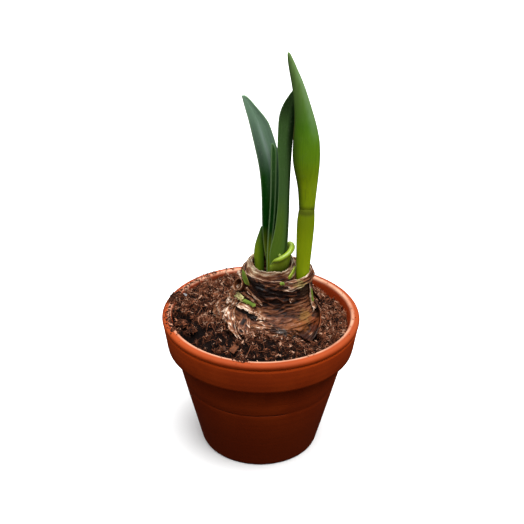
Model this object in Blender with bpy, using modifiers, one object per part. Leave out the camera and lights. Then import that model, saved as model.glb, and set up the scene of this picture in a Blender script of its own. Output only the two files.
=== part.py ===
"""A potted amaryllis: a bulb in a terracotta pot of coir, with leaves and one closed flower bud.

Metres, +Z up. The origin is the centre of the pot's base, and -Y is the front.
"""

import math

import bmesh
import bpy
from mathutils import Vector, noise

# Clearance between pieces that touch
GAP = 0.0003

# Pot, a 150 mm azalea pot
POT_RADIUS = 0.075
POT_HEIGHT = 0.111
LIP_BEAD = 0.0055
LIP_UNDERCUT = 0.0008
LIP_ROUNDING = 0.0018
LIP_INNER_RADIUS = 0.0680
LIP_TAPER = 0.0006
COLLAR_HEIGHT = 0.027
COLLAR_NECK_RADIUS = 0.0739
COLLAR_FOOT_RADIUS = 0.0716
COLLAR_FOOT_BEVEL = 0.0010
COLLAR_FOOT_STEP = 0.0040  # how far below the collar's foot the inner wall widens
BODY_TOP_RADIUS = 0.0662
BASE_RADIUS = 0.0460
WALL_BELOW_COLLAR = 0.0600
FLOOR_THICKNESS = 0.0070
FLOOR_RADIUS = 0.0400
DRAIN_RADIUS = 0.0065
GROOVE_HEIGHT = 0.0560
GROOVE_DEPTH = 0.0006
GROOVE_HALF_WIDTH = 0.0016
BASE_BEVEL = 0.0010
FLOOR_FILLET = 0.0030
POT_SIDES = 64

# Soil: surface height at the pot's wall and against the bulb, every 45 degrees from +X
SOIL_AT_WALL = (0.1020, 0.0995, 0.1050, 0.1090, 0.1092, 0.1000, 0.1020, 0.1015)
SOIL_AT_BULB = (0.1030, 0.1015, 0.1040, 0.1060, 0.1060, 0.1045, 0.1060, 0.1035)
SOIL_CRUMB = 0.0016
SOIL_SIDES = 60
SOIL_INNER_RING = 0.0200
SOIL_RINGS = 12
SOIL_WALL_HEIGHTS = (0.0850, 0.0400, 0.0102)
HOLLOW_HEIGHTS = (
    *(0.1700, 0.1240, 0.1190, 0.1150, 0.1120, 0.1090, 0.1060, 0.1030, 0.1000),
    *(0.0960, 0.0900, 0.0820, 0.0740, 0.0660, 0.0600, 0.0540, 0.0455),
)

# Bulb: height, centre X, half width, centre Y, half depth of each level, from the basal plate up
BULB_LEVELS = (
    (0.0450, 0.0060, 0.0140, 0.0100, 0.0140),
    (0.0520, 0.0060, 0.0230, 0.0100, 0.0230),
    (0.0600, 0.0060, 0.0300, 0.0100, 0.0300),
    (0.0800, 0.0060, 0.0400, 0.0100, 0.0400),
    (0.0950, 0.0063, 0.0415, 0.0100, 0.0410),
    (0.1030, 0.0065, 0.0405, 0.0100, 0.0388),
    (0.1080, 0.0075, 0.0370, 0.0100, 0.0350),
    (0.1130, 0.0090, 0.0330, 0.0098, 0.0300),
    (0.1180, 0.0110, 0.0285, 0.0095, 0.0250),
    (0.1250, 0.0120, 0.0265, 0.0090, 0.0225),
    (0.1425, 0.0120, 0.0262, 0.0090, 0.0222),
)
NECK_TOP = 0.1425
NECK_WALL = 0.0014
MOUTH_FLOOR = 0.1320
RIDGE_PITCH = 0.0032
RIDGE_HEIGHT = 0.0012
RIDGE_WANDER = 1.3
RIDGES_FROM = 0.0985
RIDGES_TO = 0.1410
RIDGE_FADE = 0.0040
NECK_RIDGES = 0.60  # their height on the neck, as a share of the height on the shoulders
RIM_RAGGED = 0.0009
SHOULDER_BULGE = 0.0060
SHOULDER_ANGLE = 188.0
SHOULDER_SPREAD = 42.0
SHOULDER_HEIGHT = 0.1190
SHOULDER_REACH = 0.0200
BELOW_SOIL_HEIGHTS = (0.0940, 0.0860, 0.0780, 0.0680, 0.0600, 0.0520, 0.0460)
BULB_SIDES = 44
BULB_AXIS = (0.0065, 0.0100)
HOLLOW_CLEARANCE = 0.0015

# Loose tunic flakes, by their corners. The first two are rooted in the bulb, and give an angle
# round it and a height. The last two are the free end, and add a distance off the bulb.
FLAKE_THICKNESS = 0.0009
FLAKE_ROOT = -0.0014
FLAKE_BOW = 0.0022
FLAKE_RAGGED = 0.0018
FLAKES = {
    "pale_tongue": ((200, 0.1255), (220, 0.1240), (242, 0.1085, 0.0022), (236, 0.1090, 0.0040)),
    "pale_tongue_beside": ((226, 0.1200), (240, 0.1190), (254, 0.1090, 0.0018), (243, 0.1095, 0.0028)),
    "shoulder_curl": ((222, 0.1285), (240, 0.1245), (252, 0.1225, 0.0022), (232, 0.1230, 0.0040)),
    "left_shoulder": ((176, 0.1370), (198, 0.1370), (200, 0.1130, 0.0035), (176, 0.1140, 0.0045)),
    "back_left_shoulder": ((142, 0.1350), (164, 0.1370), (168, 0.1150, 0.0045), (146, 0.1140, 0.0030)),
    "neck_roll": ((206, 0.1400), (220, 0.1390), (224, 0.1300, 0.0030), (208, 0.1300, 0.0038)),
    "right_flap": ((4, 0.1180), (4, 0.1080), (-54, 0.1090, 0.0105), (-40, 0.1185, 0.0065)),
    "back_flap": ((58, 0.1230), (88, 0.1250), (92, 0.1100, 0.0040), (66, 0.1090, 0.0030)),
    "back_curl": ((102, 0.1280), (122, 0.1270), (128, 0.1140, 0.0030), (108, 0.1160, 0.0045)),
}

# Inner papery collar of the neck
COLLAR_LIP = (0.0078, 0.0086, 0.0156, 0.0140)  # centre X, centre Y, half width, half depth
COLLAR_SKIRT = (0.0060, 0.0090, 0.0176, 0.0158)
COLLAR_FLARE = 0.0005
COLLAR_LIP_HEIGHT = 0.1510
COLLAR_SKIRT_HEIGHT = 0.1433
COLLAR_TILT = 0.30  # rise to the back, for each metre of depth
COLLAR_WALL = 0.0014
COLLAR_RAGGED = 0.0008
COLLAR_SQUARENESS = 2.2
COLLAR_SIDES = 40

# Blades: height, left edge X, right edge X and depth Y of each station, from the base up
LEAF_LEFT = (
    (0.1323, 0.0040, 0.0085, 0.0112),
    (0.1480, 0.0044, 0.0086, 0.0110),
    (0.1580, 0.0019, 0.0098, 0.0108),
    (0.1680, 0.0009, 0.0112, 0.0107),
    (0.1780, 0.0000, 0.0124, 0.0108),
    (0.1910, -0.0003, 0.0129, 0.0112),
    (0.2100, -0.0009, 0.0132, 0.0120),
    (0.2260, -0.0029, 0.0126, 0.0130),
    (0.2375, -0.0055, 0.0095, 0.0139),
    (0.2510, -0.0087, 0.0041, 0.0151),
    (0.2580, -0.0103, 0.0010, 0.0158),
    (0.2680, -0.0132, -0.0076, 0.0168),
    (0.2750, -0.0149, -0.0143, 0.0175),
)
LEAF_MIDDLE = (
    (0.1323, 0.0096, 0.0150, 0.0058),
    (0.1420, 0.0080, 0.0160, 0.0056),
    (0.1515, 0.0060, 0.0167, 0.0052),
    (0.1596, 0.0060, 0.0182, 0.0050),
    (0.1691, 0.0084, 0.0189, 0.0050),
    (0.1803, 0.0102, 0.0191, 0.0055),
    (0.1906, 0.0112, 0.0193, 0.0062),
    (0.2076, 0.0120, 0.0192, 0.0078),
    (0.2267, 0.0116, 0.0196, 0.0099),
    (0.2334, 0.0109, 0.0198, 0.0106),
    (0.2392, 0.0102, 0.0202, 0.0112),
    (0.2453, 0.0105, 0.0205, 0.0117),
    (0.2573, 0.0105, 0.0219, 0.0128),
    (0.2650, 0.0114, 0.0231, 0.0134),
    (0.2726, 0.0145, 0.0234, 0.0141),
    (0.2804, 0.0200, 0.0239, 0.0147),
    (0.2829, 0.0220, 0.0231, 0.0149),
)
LEAF_INNER = (
    (0.1323, 0.0046, 0.0062, 0.0076),
    (0.1541, 0.0042, 0.0062, 0.0077),
    (0.1596, 0.0040, 0.0065, 0.0078),
    (0.1691, 0.0045, 0.0074, 0.0080),
    (0.1797, 0.0051, 0.0085, 0.0082),
    (0.2005, 0.0061, 0.0093, 0.0085),
    (0.2267, 0.0059, 0.0093, 0.0095),
    (0.2377, 0.0060, 0.0091, 0.0099),
    (0.2410, 0.0062, 0.0075, 0.0100),
    (0.2429, 0.0062, 0.0066, 0.0100),
)
SHEATH_LEFT = (
    (0.1323, -0.0036, 0.0012, 0.0118),
    (0.1410, -0.0044, 0.0012, 0.0118),
    (0.1485, -0.0051, 0.0012, 0.0117),
    (0.1551, -0.0055, 0.0012, 0.0116),
    (0.1609, -0.0049, 0.0010, 0.0114),
    (0.1674, -0.0032, 0.0008, 0.0112),
    (0.1732, -0.0016, 0.0004, 0.0110),
    (0.1776, -0.0008, 0.0000, 0.0110),
)
NARROWEST_BLADE = 0.0006
BLADE_COLUMNS = 6

# Each blade: its stations, material, turn in degrees, hollow as a share of its width, thickness, rows
BLADES = {
    "leaf_left": (LEAF_LEFT, "leaf_bluish", 16, 0.16, 0.0013, 22),
    "leaf_middle": (LEAF_MIDDLE, "leaf_dark", -6, 0.10, 0.0013, 24),
    "leaf_inner": (LEAF_INNER, "leaf_young", 0, 0.25, 0.0010, 18),
    "leaf_sheath_left": (SHEATH_LEFT, "sheath", -10, -0.22, 0.0018, 12),
}

# Curled sheath at the right of the tuft
CUP_AXIS = (0.0126, 0.0070)
CUP_FROM, CUP_TO = -142.0, 42.0
CUP_RADII = ((0.0, 0.0056), (0.45, 0.0068), (0.62, 0.0075), (0.85, 0.0088), (1.0, 0.0088))
CUP_RIM_HEIGHTS = (0.1525, 0.1550, 0.1572, 0.1600, 0.1625, 0.1645, 0.1657, 0.1650)
CUP_THICKNESS = 0.0021

# Fresh scale between the inner collar and the stalk
GREEN_SCALE_OFFSET = 0.0022
GREEN_SCALE_FROM, GREEN_SCALE_TO = -64.0, -20.0
GREEN_SCALE_TOP_LEFT, GREEN_SCALE_TOP_RIGHT = 0.1440, 0.1480
GREEN_SCALE_THICKNESS = 0.0011

# Stalk: height, centre X, centre Y, radius
STALK = (
    (0.1323, 0.0306, 0.0062, 0.0044),
    (0.1400, 0.0308, 0.0060, 0.0049),
    (0.1470, 0.0310, 0.0060, 0.0053),
    (0.1565, 0.0312, 0.0058, 0.0057),
    (0.1650, 0.0314, 0.0056, 0.0061),
    (0.1736, 0.0316, 0.0054, 0.0064),
    (0.1807, 0.0318, 0.0053, 0.0066),
    (0.1872, 0.0319, 0.0052, 0.0065),
    (0.1936, 0.0322, 0.0050, 0.0059),
)

# Bud: height, centre X, half width, centre Y
BUD = (
    (0.1940, 0.0323, 0.0058, 0.0050),
    (0.2005, 0.0322, 0.0062, 0.0050),
    (0.2073, 0.0322, 0.0067, 0.0049),
    (0.2137, 0.0320, 0.0074, 0.0048),
    (0.2195, 0.0316, 0.0082, 0.0047),
    (0.2253, 0.0311, 0.0091, 0.0045),
    (0.2314, 0.0307, 0.0098, 0.0044),
    (0.2392, 0.0303, 0.0099, 0.0043),
    (0.2486, 0.0299, 0.0092, 0.0041),
    (0.2590, 0.0290, 0.0078, 0.0038),
    (0.2670, 0.0280, 0.0067, 0.0035),
    (0.2791, 0.0256, 0.0052, 0.0031),
    (0.2896, 0.0230, 0.0041, 0.0028),
    (0.2961, 0.0208, 0.0033, 0.0025),
    (0.3024, 0.0188, 0.0025, 0.0023),
    (0.3072, 0.0173, 0.0015, 0.0021),
    (0.3101, 0.0163, 0.0004, 0.0020),
)
BUD_FLATNESS = 0.88
BUD_SIDES = 22
BUD_TIP = 0.0003

COLOURS = {
    "terracotta": ((0.45, 0.13, 0.04), 0.75),
    "soil": ((0.045, 0.016, 0.010), 0.95),
    "tunic": ((0.16, 0.07, 0.035), 0.65),
    "papery_scale": ((0.38, 0.22, 0.14), 0.7),
    "leaf_bluish": ((0.055, 0.14, 0.07), 0.45),
    "leaf_dark": ((0.045, 0.11, 0.03), 0.5),
    "leaf_young": ((0.02, 0.07, 0.015), 0.5),
    "sheath": ((0.12, 0.24, 0.02), 0.35),
    "scale_green": ((0.25, 0.42, 0.05), 0.4),
    "stalk": ((0.17, 0.25, 0.012), 0.4),
    "bud": ((0.13, 0.19, 0.02), 0.45),
}


def clear_scene():
    for obj in list(bpy.data.objects):
        bpy.data.objects.remove(obj, do_unlink=True)


def make_collection(name, hidden=False):
    collection = bpy.data.collections.new(name)
    collection.hide_render = hidden
    bpy.context.scene.collection.children.link(collection)
    return collection


def make_material(name):
    colour, roughness = COLOURS[name]
    material = bpy.data.materials.new(name)
    material.use_nodes = True
    shader = material.node_tree.nodes["Principled BSDF"]
    shader.inputs["Base Color"].default_value = (*colour, 1.0)
    shader.inputs["Roughness"].default_value = roughness
    shader.inputs["Metallic"].default_value = 0.0
    return material


def smoothstep(t):
    t = min(max(t, 0.0), 1.0)
    return t * t * (3.0 - 2.0 * t)


def along(stations, at):
    """The values beside a smooth curve through the stations, whose first column rises."""
    last = len(stations) - 1
    i = 0
    while i < last - 1 and stations[i + 1][0] < at:
        i += 1
    before, low = stations[max(i - 1, 0)], stations[i]
    high, after = stations[i + 1], stations[min(i + 2, last)]
    step = high[0] - low[0]
    t = min(max((at - low[0]) / step, 0.0), 1.0)
    found = []
    for column in range(1, len(low)):
        slope_low = (high[column] - before[column]) / (high[0] - before[0]) * step
        slope_high = (after[column] - low[column]) / (after[0] - low[0]) * step
        found.append(
            (2 * t**3 - 3 * t**2 + 1) * low[column]
            + (t**3 - 2 * t**2 + t) * slope_low
            + (3 * t**2 - 2 * t**3) * high[column]
            + (t**3 - t**2) * slope_high
        )
    return found


def around(values, angle):
    """A smooth value at an angle in radians, from values spaced evenly round the circle."""
    place = (angle / math.tau * len(values)) % len(values)
    i = int(place)
    share = smoothstep(place - i)
    return values[i] * (1 - share) + values[(i + 1) % len(values)] * share


def add_object(name, bm, collection, material, sharp_angle=40.0):
    mesh = bpy.data.meshes.new(name)
    bm.to_mesh(mesh)
    bm.free()
    mesh.shade_smooth()
    mesh.set_sharp_from_angle(angle=math.radians(sharp_angle))
    obj = bpy.data.objects.new(name, mesh)
    if material:
        obj.data.materials.append(material)
    collection.objects.link(obj)
    return obj


def shaped_ball(rings, sides, place):
    """A UV sphere whose points move to place(ring, angle), ring 0 being its top pole."""
    bm = bmesh.new()
    bmesh.ops.create_uvsphere(bm, u_segments=sides, v_segments=rings, radius=1.0)
    for vert in bm.verts:
        x, y, z = vert.co
        ring = round(math.acos(min(max(z, -1.0), 1.0)) / math.pi * rings)
        vert.co = place(ring, math.atan2(y, x))
    return bm


def shaped_sheet(columns, rows, place):
    """A grid whose points move to place(across, up), both from 0 to 1, cut into even triangles."""
    bm = bmesh.new()
    bmesh.ops.create_grid(bm, x_segments=columns, y_segments=rows, size=1.0)
    for vert in bm.verts:
        across, up = (vert.co.x + 1) / 2, (vert.co.y + 1) / 2
        vert.co = place(across, up)
    bmesh.ops.triangulate(bm, faces=bm.faces[:], quad_method="ALTERNATE")
    return bm


def add_wall(obj, thickness):
    wall = obj.modifiers.new("wall", "SOLIDIFY")
    wall.thickness = thickness
    wall.offset = 0.0


def arc(centre_r, centre_z, radius, start, end, steps):
    """Points of a circular arc in a turned profile, from start to end degrees."""
    points = []
    for i in range(steps + 1):
        angle = math.radians(start + (end - start) * i / steps)
        points.append((centre_r + radius * math.cos(angle), centre_z + radius * math.sin(angle)))
    return points


def pot_inner_radius(height):
    """Radius of the pot's inner wall at a height."""
    wall = (
        (FLOOR_THICKNESS, FLOOR_RADIUS),
        (POT_HEIGHT - COLLAR_HEIGHT - COLLAR_FOOT_STEP, WALL_BELOW_COLLAR),
        (POT_HEIGHT - LIP_BEAD, LIP_INNER_RADIUS - LIP_TAPER),
        (POT_HEIGHT, LIP_INNER_RADIUS),
    )
    for (low, r_low), (high, r_high) in zip(wall, wall[1:]):
        if height <= high:
            return r_low + (r_high - r_low) * (height - low) / (high - low)
    return LIP_INNER_RADIUS


def make_pot(parts, material):
    bead = LIP_BEAD / 2
    collar_foot = POT_HEIGHT - COLLAR_HEIGHT
    profile = arc(POT_RADIUS - bead, POT_HEIGHT - bead, bead, 90, -54, 8)
    profile += [(COLLAR_NECK_RADIUS, POT_HEIGHT - LIP_BEAD - LIP_UNDERCUT)]
    profile += [(COLLAR_FOOT_RADIUS, collar_foot + COLLAR_FOOT_BEVEL)]
    profile += [(COLLAR_FOOT_RADIUS - COLLAR_FOOT_BEVEL, collar_foot), (BODY_TOP_RADIUS, collar_foot)]
    for height, depth in (
        (GROOVE_HEIGHT + GROOVE_HALF_WIDTH, 0.0),
        (GROOVE_HEIGHT, GROOVE_DEPTH),
        (GROOVE_HEIGHT - GROOVE_HALF_WIDTH, 0.0),
    ):
        share = height / collar_foot
        profile.append((BASE_RADIUS + (BODY_TOP_RADIUS - BASE_RADIUS) * share - depth, height))
    profile += [(BASE_RADIUS, BASE_BEVEL), (BASE_RADIUS - BASE_BEVEL, 0.0)]
    profile += [(DRAIN_RADIUS, 0.0), (DRAIN_RADIUS, FLOOR_THICKNESS)]
    profile += [(FLOOR_RADIUS - FLOOR_FILLET, FLOOR_THICKNESS)]
    inner_heights = (
        FLOOR_THICKNESS + FLOOR_FILLET,
        collar_foot - COLLAR_FOOT_STEP,
        POT_HEIGHT - LIP_BEAD,
        POT_HEIGHT - LIP_ROUNDING,
    )
    profile += [(pot_inner_radius(height), height) for height in inner_heights]
    profile += [(LIP_INNER_RADIUS + LIP_ROUNDING, POT_HEIGHT)]

    bm = bmesh.new()
    verts = [bm.verts.new((r, 0.0, z)) for r, z in profile]
    for first, second in zip(verts, verts[1:] + verts[:1]):
        bm.edges.new((first, second))
    pot = add_object("pot", bm, parts, material, 30.0)
    turn = pot.modifiers.new("turn", "SCREW")
    turn.steps = POT_SIDES
    turn.render_steps = POT_SIDES
    turn.use_merge_vertices = True
    turn.merge_threshold = 0.00001
    return pot


def bulb_surface(height, angle, grow=0.0):
    """A point of the bulb's outside, with its ridges and the bulge of its left shoulder."""
    centre_x, half_width, centre_y, half_depth = along(BULB_LEVELS, height)
    away = abs((math.degrees(angle) - SHOULDER_ANGLE + 180.0) % 360.0 - 180.0)
    side = smoothstep(1.0 - away / SHOULDER_SPREAD)
    level = smoothstep(1.0 - abs(height - SHOULDER_HEIGHT) / SHOULDER_REACH)
    radius_change = grow + SHOULDER_BULGE * side * level
    if grow == 0.0 and RIDGES_FROM < height < RIDGES_TO:
        fade = smoothstep(min(height - RIDGES_FROM, RIDGES_TO - height) / RIDGE_FADE)
        on_neck = smoothstep((height - SHOULDER_HEIGHT) / SHOULDER_REACH)
        around_bulb = RIDGE_WANDER * Vector((math.cos(angle), math.sin(angle)))
        fold = noise.noise(Vector((*around_bulb, height / RIDGE_PITCH)))
        radius_change += RIDGE_HEIGHT * (1 + (NECK_RIDGES - 1) * on_neck) * fade * fold
    return Vector(
        (
            centre_x + (half_width + radius_change) * math.cos(angle),
            centre_y + (half_depth + radius_change) * math.sin(angle),
            height,
        )
    )


def bulb_levels():
    """Heights of the bulb's outer rings, from the neck's top down, closest together on the ridges."""
    ridge_step = RIDGE_PITCH / 4
    ridge_rings = int((RIDGES_TO - RIDGES_FROM) / ridge_step)
    heights = [RIDGES_TO - ridge_step * i for i in range(ridge_rings + 1)]
    return [NECK_TOP - 0.0006, *heights, *BELOW_SOIL_HEIGHTS]


def rim_ragged(angle):
    """How far the neck's torn rim stands above its mean height."""
    return RIM_RAGGED * noise.noise(Vector((math.cos(angle), math.sin(angle), 2.0)) * 4.0)


def make_bulb(parts, cutters, material):
    outer = bulb_levels()
    # Rings of the mouth, from its middle out: height, share of the neck's radius, inset from its outside
    mouth = (
        (MOUTH_FLOOR, 0.0, 0.0),
        (MOUTH_FLOOR, 0.55, NECK_WALL),
        (MOUTH_FLOOR, 1.0, NECK_WALL * 1.3),
        (NECK_TOP - 0.0008, 1.0, NECK_WALL),
        (NECK_TOP, 1.0, NECK_WALL * 0.7),
        (NECK_TOP, 1.0, NECK_WALL * 0.3),
    )
    rings = len(mouth) + len(outer)

    def place(ring, angle):
        if ring < len(mouth):
            height, share, inset = mouth[ring]
            centre_x, half_width, centre_y, half_depth = along(BULB_LEVELS, height)
            return Vector(
                (
                    centre_x + (half_width - inset) * share * math.cos(angle),
                    centre_y + (half_depth - inset) * share * math.sin(angle),
                    height + (rim_ragged(angle) if height > MOUTH_FLOOR else 0.0),
                )
            )
        if ring == rings:
            return Vector((BULB_LEVELS[0][1], BULB_LEVELS[0][3], BULB_LEVELS[0][0]))
        point = bulb_surface(outer[ring - len(mouth)], angle)
        if ring == len(mouth):
            point.z += rim_ragged(angle)
        return point

    bulb = add_object("bulb", shaped_ball(rings, BULB_SIDES, place), parts, material)
    flakes = [make_flake(name, corners, cutters) for name, corners in FLAKES.items()]
    for flake in flakes:
        join = bulb.modifiers.new("join_" + flake.name, "BOOLEAN")
        join.operation = "UNION"
        join.object = flake
    return bulb


def make_flake(name, corners, cutters):
    """A sheet of loose tunic between four corners, bowed outwards, its free end ragged."""

    def place(across, out):
        root = [a + (b - a) * across for a, b in zip(corners[0], corners[1])] + [FLAKE_ROOT]
        free = [a + (b - a) * across for a, b in zip(corners[3], corners[2])]
        angle, height, lift = (a + (b - a) * out for a, b in zip(root, free))
        lift += FLAKE_BOW * math.sin(math.pi * out)
        height += FLAKE_RAGGED * out * noise.noise(Vector((across * 5.0, corners[0][0], 0.0)))
        point = bulb_surface(height, math.radians(angle))
        outwards = Vector((point.x - BULB_AXIS[0], point.y - BULB_AXIS[1], 0.0)).normalized()
        return point + outwards * lift

    flake = add_object("flake_" + name, shaped_sheet(4, 5, place), cutters, None)
    add_wall(flake, FLAKE_THICKNESS)
    flake.hide_render = True
    flake.display_type = "WIRE"
    return flake


def soil_height(x, y):
    """The soil's surface: one level at the pot's wall, another against the bulb, with crumbs."""
    angle = math.atan2(y, x)
    wall, bulb = around(SOIL_AT_WALL, angle), around(SOIL_AT_BULB, angle)
    from_bulb = math.hypot(x - BULB_AXIS[0], y - BULB_AXIS[1]) - BULB_LEVELS[4][2]
    to_wall = LIP_INNER_RADIUS - math.hypot(x, y)
    share = smoothstep(from_bulb / max(from_bulb + to_wall, 0.001))
    crumbs = noise.noise(Vector((x, y, 0.0)) * 160.0) + 0.6 * noise.noise(Vector((x, y, 0.3)) * 330.0)
    return bulb + (wall - bulb) * share + SOIL_CRUMB * crumbs


def make_soil(parts, cutters, material):
    rings = SOIL_RINGS + 1 + len(SOIL_WALL_HEIGHTS) + 2

    def place(ring, angle):
        if ring == 0:
            return Vector((0.0, 0.0, SOIL_AT_BULB[0]))
        if ring <= SOIL_RINGS + 1:
            share = (ring - 1) / SOIL_RINGS
            outermost = pot_inner_radius(around(SOIL_AT_WALL, angle)) - 2 * GAP
            radius = SOIL_INNER_RING + (outermost - SOIL_INNER_RING) * share
            x, y = radius * math.cos(angle), radius * math.sin(angle)
            return Vector((x, y, soil_height(x, y)))
        if ring == rings:
            return Vector((0.0, 0.0, FLOOR_THICKNESS + GAP))
        if ring == rings - 1:
            radius, height = FLOOR_RADIUS - FLOOR_FILLET - 3 * GAP, FLOOR_THICKNESS + GAP
        else:
            height = SOIL_WALL_HEIGHTS[ring - SOIL_RINGS - 2]
            radius = pot_inner_radius(height) - 2 * GAP
        return Vector((radius * math.cos(angle), radius * math.sin(angle), height))

    soil = add_object("soil", shaped_ball(rings, SOIL_SIDES, place), parts, material, 60.0)

    def hollow_place(ring, angle):
        if ring == 0:
            return Vector((*BULB_AXIS, HOLLOW_HEIGHTS[0]))
        if ring > len(HOLLOW_HEIGHTS):
            return Vector((*BULB_AXIS, BULB_LEVELS[0][0] - 2 * GAP))
        height = HOLLOW_HEIGHTS[ring - 1]
        point = bulb_surface(min(height, NECK_TOP), angle, HOLLOW_CLEARANCE)
        point.z = height - GAP
        return point

    ball = shaped_ball(len(HOLLOW_HEIGHTS) + 1, BULB_SIDES, hollow_place)
    hollow = add_object("hollow", ball, cutters, None)
    hollow.hide_render = True
    hollow.display_type = "WIRE"
    cut = soil.modifiers.new("bulb_hollow", "BOOLEAN")
    cut.operation = "DIFFERENCE"
    cut.object = hollow
    return soil


def rounded_oval(oval, angle, inset=0.0):
    """A point of an oval that is a little squarer than an ellipse."""
    centre_x, centre_y, half_width, half_depth = oval
    power = 2.0 / COLLAR_SQUARENESS
    c, s = math.cos(angle), math.sin(angle)
    return (
        centre_x + (half_width - inset) * math.copysign(abs(c) ** power, c),
        centre_y + (half_depth - inset) * math.copysign(abs(s) ** power, s),
    )


def make_inner_collar(parts, material):
    """A ring-shaped wall: upright below, drawn in above to a ragged lip that is lower in front."""
    section = (
        ("skirt", MOUTH_FLOOR + GAP, COLLAR_FLARE),
        ("skirt", COLLAR_SKIRT_HEIGHT, -COLLAR_FLARE),
        ("middle", (COLLAR_SKIRT_HEIGHT + COLLAR_LIP_HEIGHT) / 2, 0.0),
        ("lip", COLLAR_LIP_HEIGHT, 0.0),
        ("lip", COLLAR_LIP_HEIGHT, COLLAR_WALL),
        ("middle", (COLLAR_SKIRT_HEIGHT + COLLAR_LIP_HEIGHT) / 2, COLLAR_WALL * 1.6),
        ("lip", COLLAR_SKIRT_HEIGHT, COLLAR_WALL * 1.2),
        ("lip", MOUTH_FLOOR + GAP, COLLAR_WALL * 1.2),
    )
    ovals = {"skirt": COLLAR_SKIRT, "lip": COLLAR_LIP}
    ovals["middle"] = tuple((a + b) / 2 for a, b in zip(COLLAR_SKIRT, COLLAR_LIP))
    bpy.ops.mesh.primitive_torus_add(
        major_segments=COLLAR_SIDES, minor_segments=len(section), major_radius=1.0, minor_radius=0.25
    )
    torus = bpy.context.object
    bm = bmesh.new()
    bm.from_mesh(torus.data)
    bpy.data.objects.remove(torus, do_unlink=True)
    for vert in bm.verts:
        angle = math.atan2(vert.co.y, vert.co.x)
        out = math.hypot(vert.co.x, vert.co.y) - 1.0
        step = round(math.atan2(vert.co.z, out) / math.tau * len(section)) % len(section)
        kind, height, inset = section[(step + 1) % len(section)]
        x, y = rounded_oval(ovals[kind], angle, inset)
        rise = smoothstep((height - MOUTH_FLOOR) / (COLLAR_LIP_HEIGHT - MOUTH_FLOOR))
        ragged = COLLAR_RAGGED * noise.noise(Vector((math.cos(angle), math.sin(angle), 0.4)) * 5.0)
        height += rise * (COLLAR_TILT * (y - COLLAR_LIP[1]) + ragged)
        vert.co = Vector((x, y, height))
    return add_object("neck_scale_inner", bm, parts, material, 50.0)


def make_blade(name, stations, parts, material, turn, hollow, thickness, rows):
    """A leaf: a sheet between its two edges, turned about its middle and hollowed across its face."""
    low, high = stations[0][0], stations[-1][0]
    cos_turn, sin_turn = math.cos(math.radians(turn)), math.sin(math.radians(turn))

    def place(across, up):
        height = low + (high - low) * up
        left, right, depth = along(stations, height)
        width = max(right - left, NARROWEST_BLADE)
        side = 2 * across - 1
        bow = hollow * width * (0.5 - side * side)
        x = (left + right) / 2 + side * width / 2 - bow * sin_turn
        y = depth + side * width / 2 * sin_turn / cos_turn + bow * cos_turn
        return Vector((x, y, height))

    blade = add_object(name, shaped_sheet(BLADE_COLUMNS, rows, place), parts, material)
    add_wall(blade, thickness)
    return blade


def make_right_sheath(parts, material):
    def place(across, up):
        angle = math.radians(CUP_FROM + (CUP_TO - CUP_FROM) * across)
        steps = len(CUP_RIM_HEIGHTS) - 1
        i = min(int(across * steps), steps - 1)
        share = across * steps - i
        rim = CUP_RIM_HEIGHTS[i] * (1 - share) + CUP_RIM_HEIGHTS[i + 1] * share
        base = MOUTH_FLOOR + GAP
        (radius,) = along(CUP_RADII, up)
        return Vector(
            (
                CUP_AXIS[0] + radius * math.cos(angle),
                CUP_AXIS[1] + radius * math.sin(angle),
                base + (rim - base) * up,
            )
        )

    cup = add_object("leaf_sheath_right", shaped_sheet(14, 8, place), parts, material)
    add_wall(cup, CUP_THICKNESS)
    return cup


def make_green_scale(parts, material):
    def place(across, up):
        angle = math.radians(GREEN_SCALE_FROM + (GREEN_SCALE_TO - GREEN_SCALE_FROM) * across)
        base = MOUTH_FLOOR + GAP
        top = GREEN_SCALE_TOP_LEFT + (GREEN_SCALE_TOP_RIGHT - GREEN_SCALE_TOP_LEFT) * across
        x, y = rounded_oval(COLLAR_SKIRT, angle, -GREEN_SCALE_OFFSET)
        return Vector((x, y, base + (top - base) * up))

    scale = add_object("green_scale", shaped_sheet(6, 3, place), parts, material)
    add_wall(scale, GREEN_SCALE_THICKNESS)
    return scale


def make_stalk(parts, material):
    curve = bpy.data.curves.new("flower_stalk", "CURVE")
    curve.dimensions = "3D"
    curve.bevel_depth = 1.0
    curve.bevel_resolution = 6
    curve.use_fill_caps = True
    spline = curve.splines.new("POLY")
    spline.points.add(len(STALK) - 1)
    for point, (height, x, y, radius) in zip(spline.points, STALK):
        point.co = (x, y, height, 1.0)
        point.radius = radius
    stalk = bpy.data.objects.new("flower_stalk", curve)
    curve.materials.append(material)
    parts.objects.link(stalk)
    return stalk


def make_bud(parts, material):
    def place(ring, angle):
        height, centre_x, half_width, centre_y = BUD[len(BUD) - 1 - min(max(ring - 1, 0), len(BUD) - 1)]
        if ring == 0:
            return Vector((centre_x, centre_y, height + BUD_TIP))
        if ring > len(BUD):
            return Vector((centre_x, centre_y, height))
        return Vector(
            (
                centre_x + half_width * math.cos(angle),
                centre_y + half_width * BUD_FLATNESS * math.sin(angle),
                height,
            )
        )

    return add_object("flower_bud", shaped_ball(len(BUD) + 1, BUD_SIDES, place), parts, material)


def main():
    clear_scene()
    parts = make_collection("potted_amaryllis")
    cutters = make_collection("cutters", hidden=True)
    finish = {name: make_material(name) for name in COLOURS}
    make_pot(parts, finish["terracotta"])
    make_soil(parts, cutters, finish["soil"])
    make_bulb(parts, cutters, finish["tunic"])
    make_inner_collar(parts, finish["papery_scale"])
    make_green_scale(parts, finish["scale_green"])
    for name, (stations, material, turn, hollow, thickness, rows) in BLADES.items():
        make_blade(name, stations, parts, finish[material], turn, hollow, thickness, rows)
    make_right_sheath(parts, finish["sheath"])
    make_stalk(parts, finish["stalk"])
    make_bud(parts, finish["bud"])


main()
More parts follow.
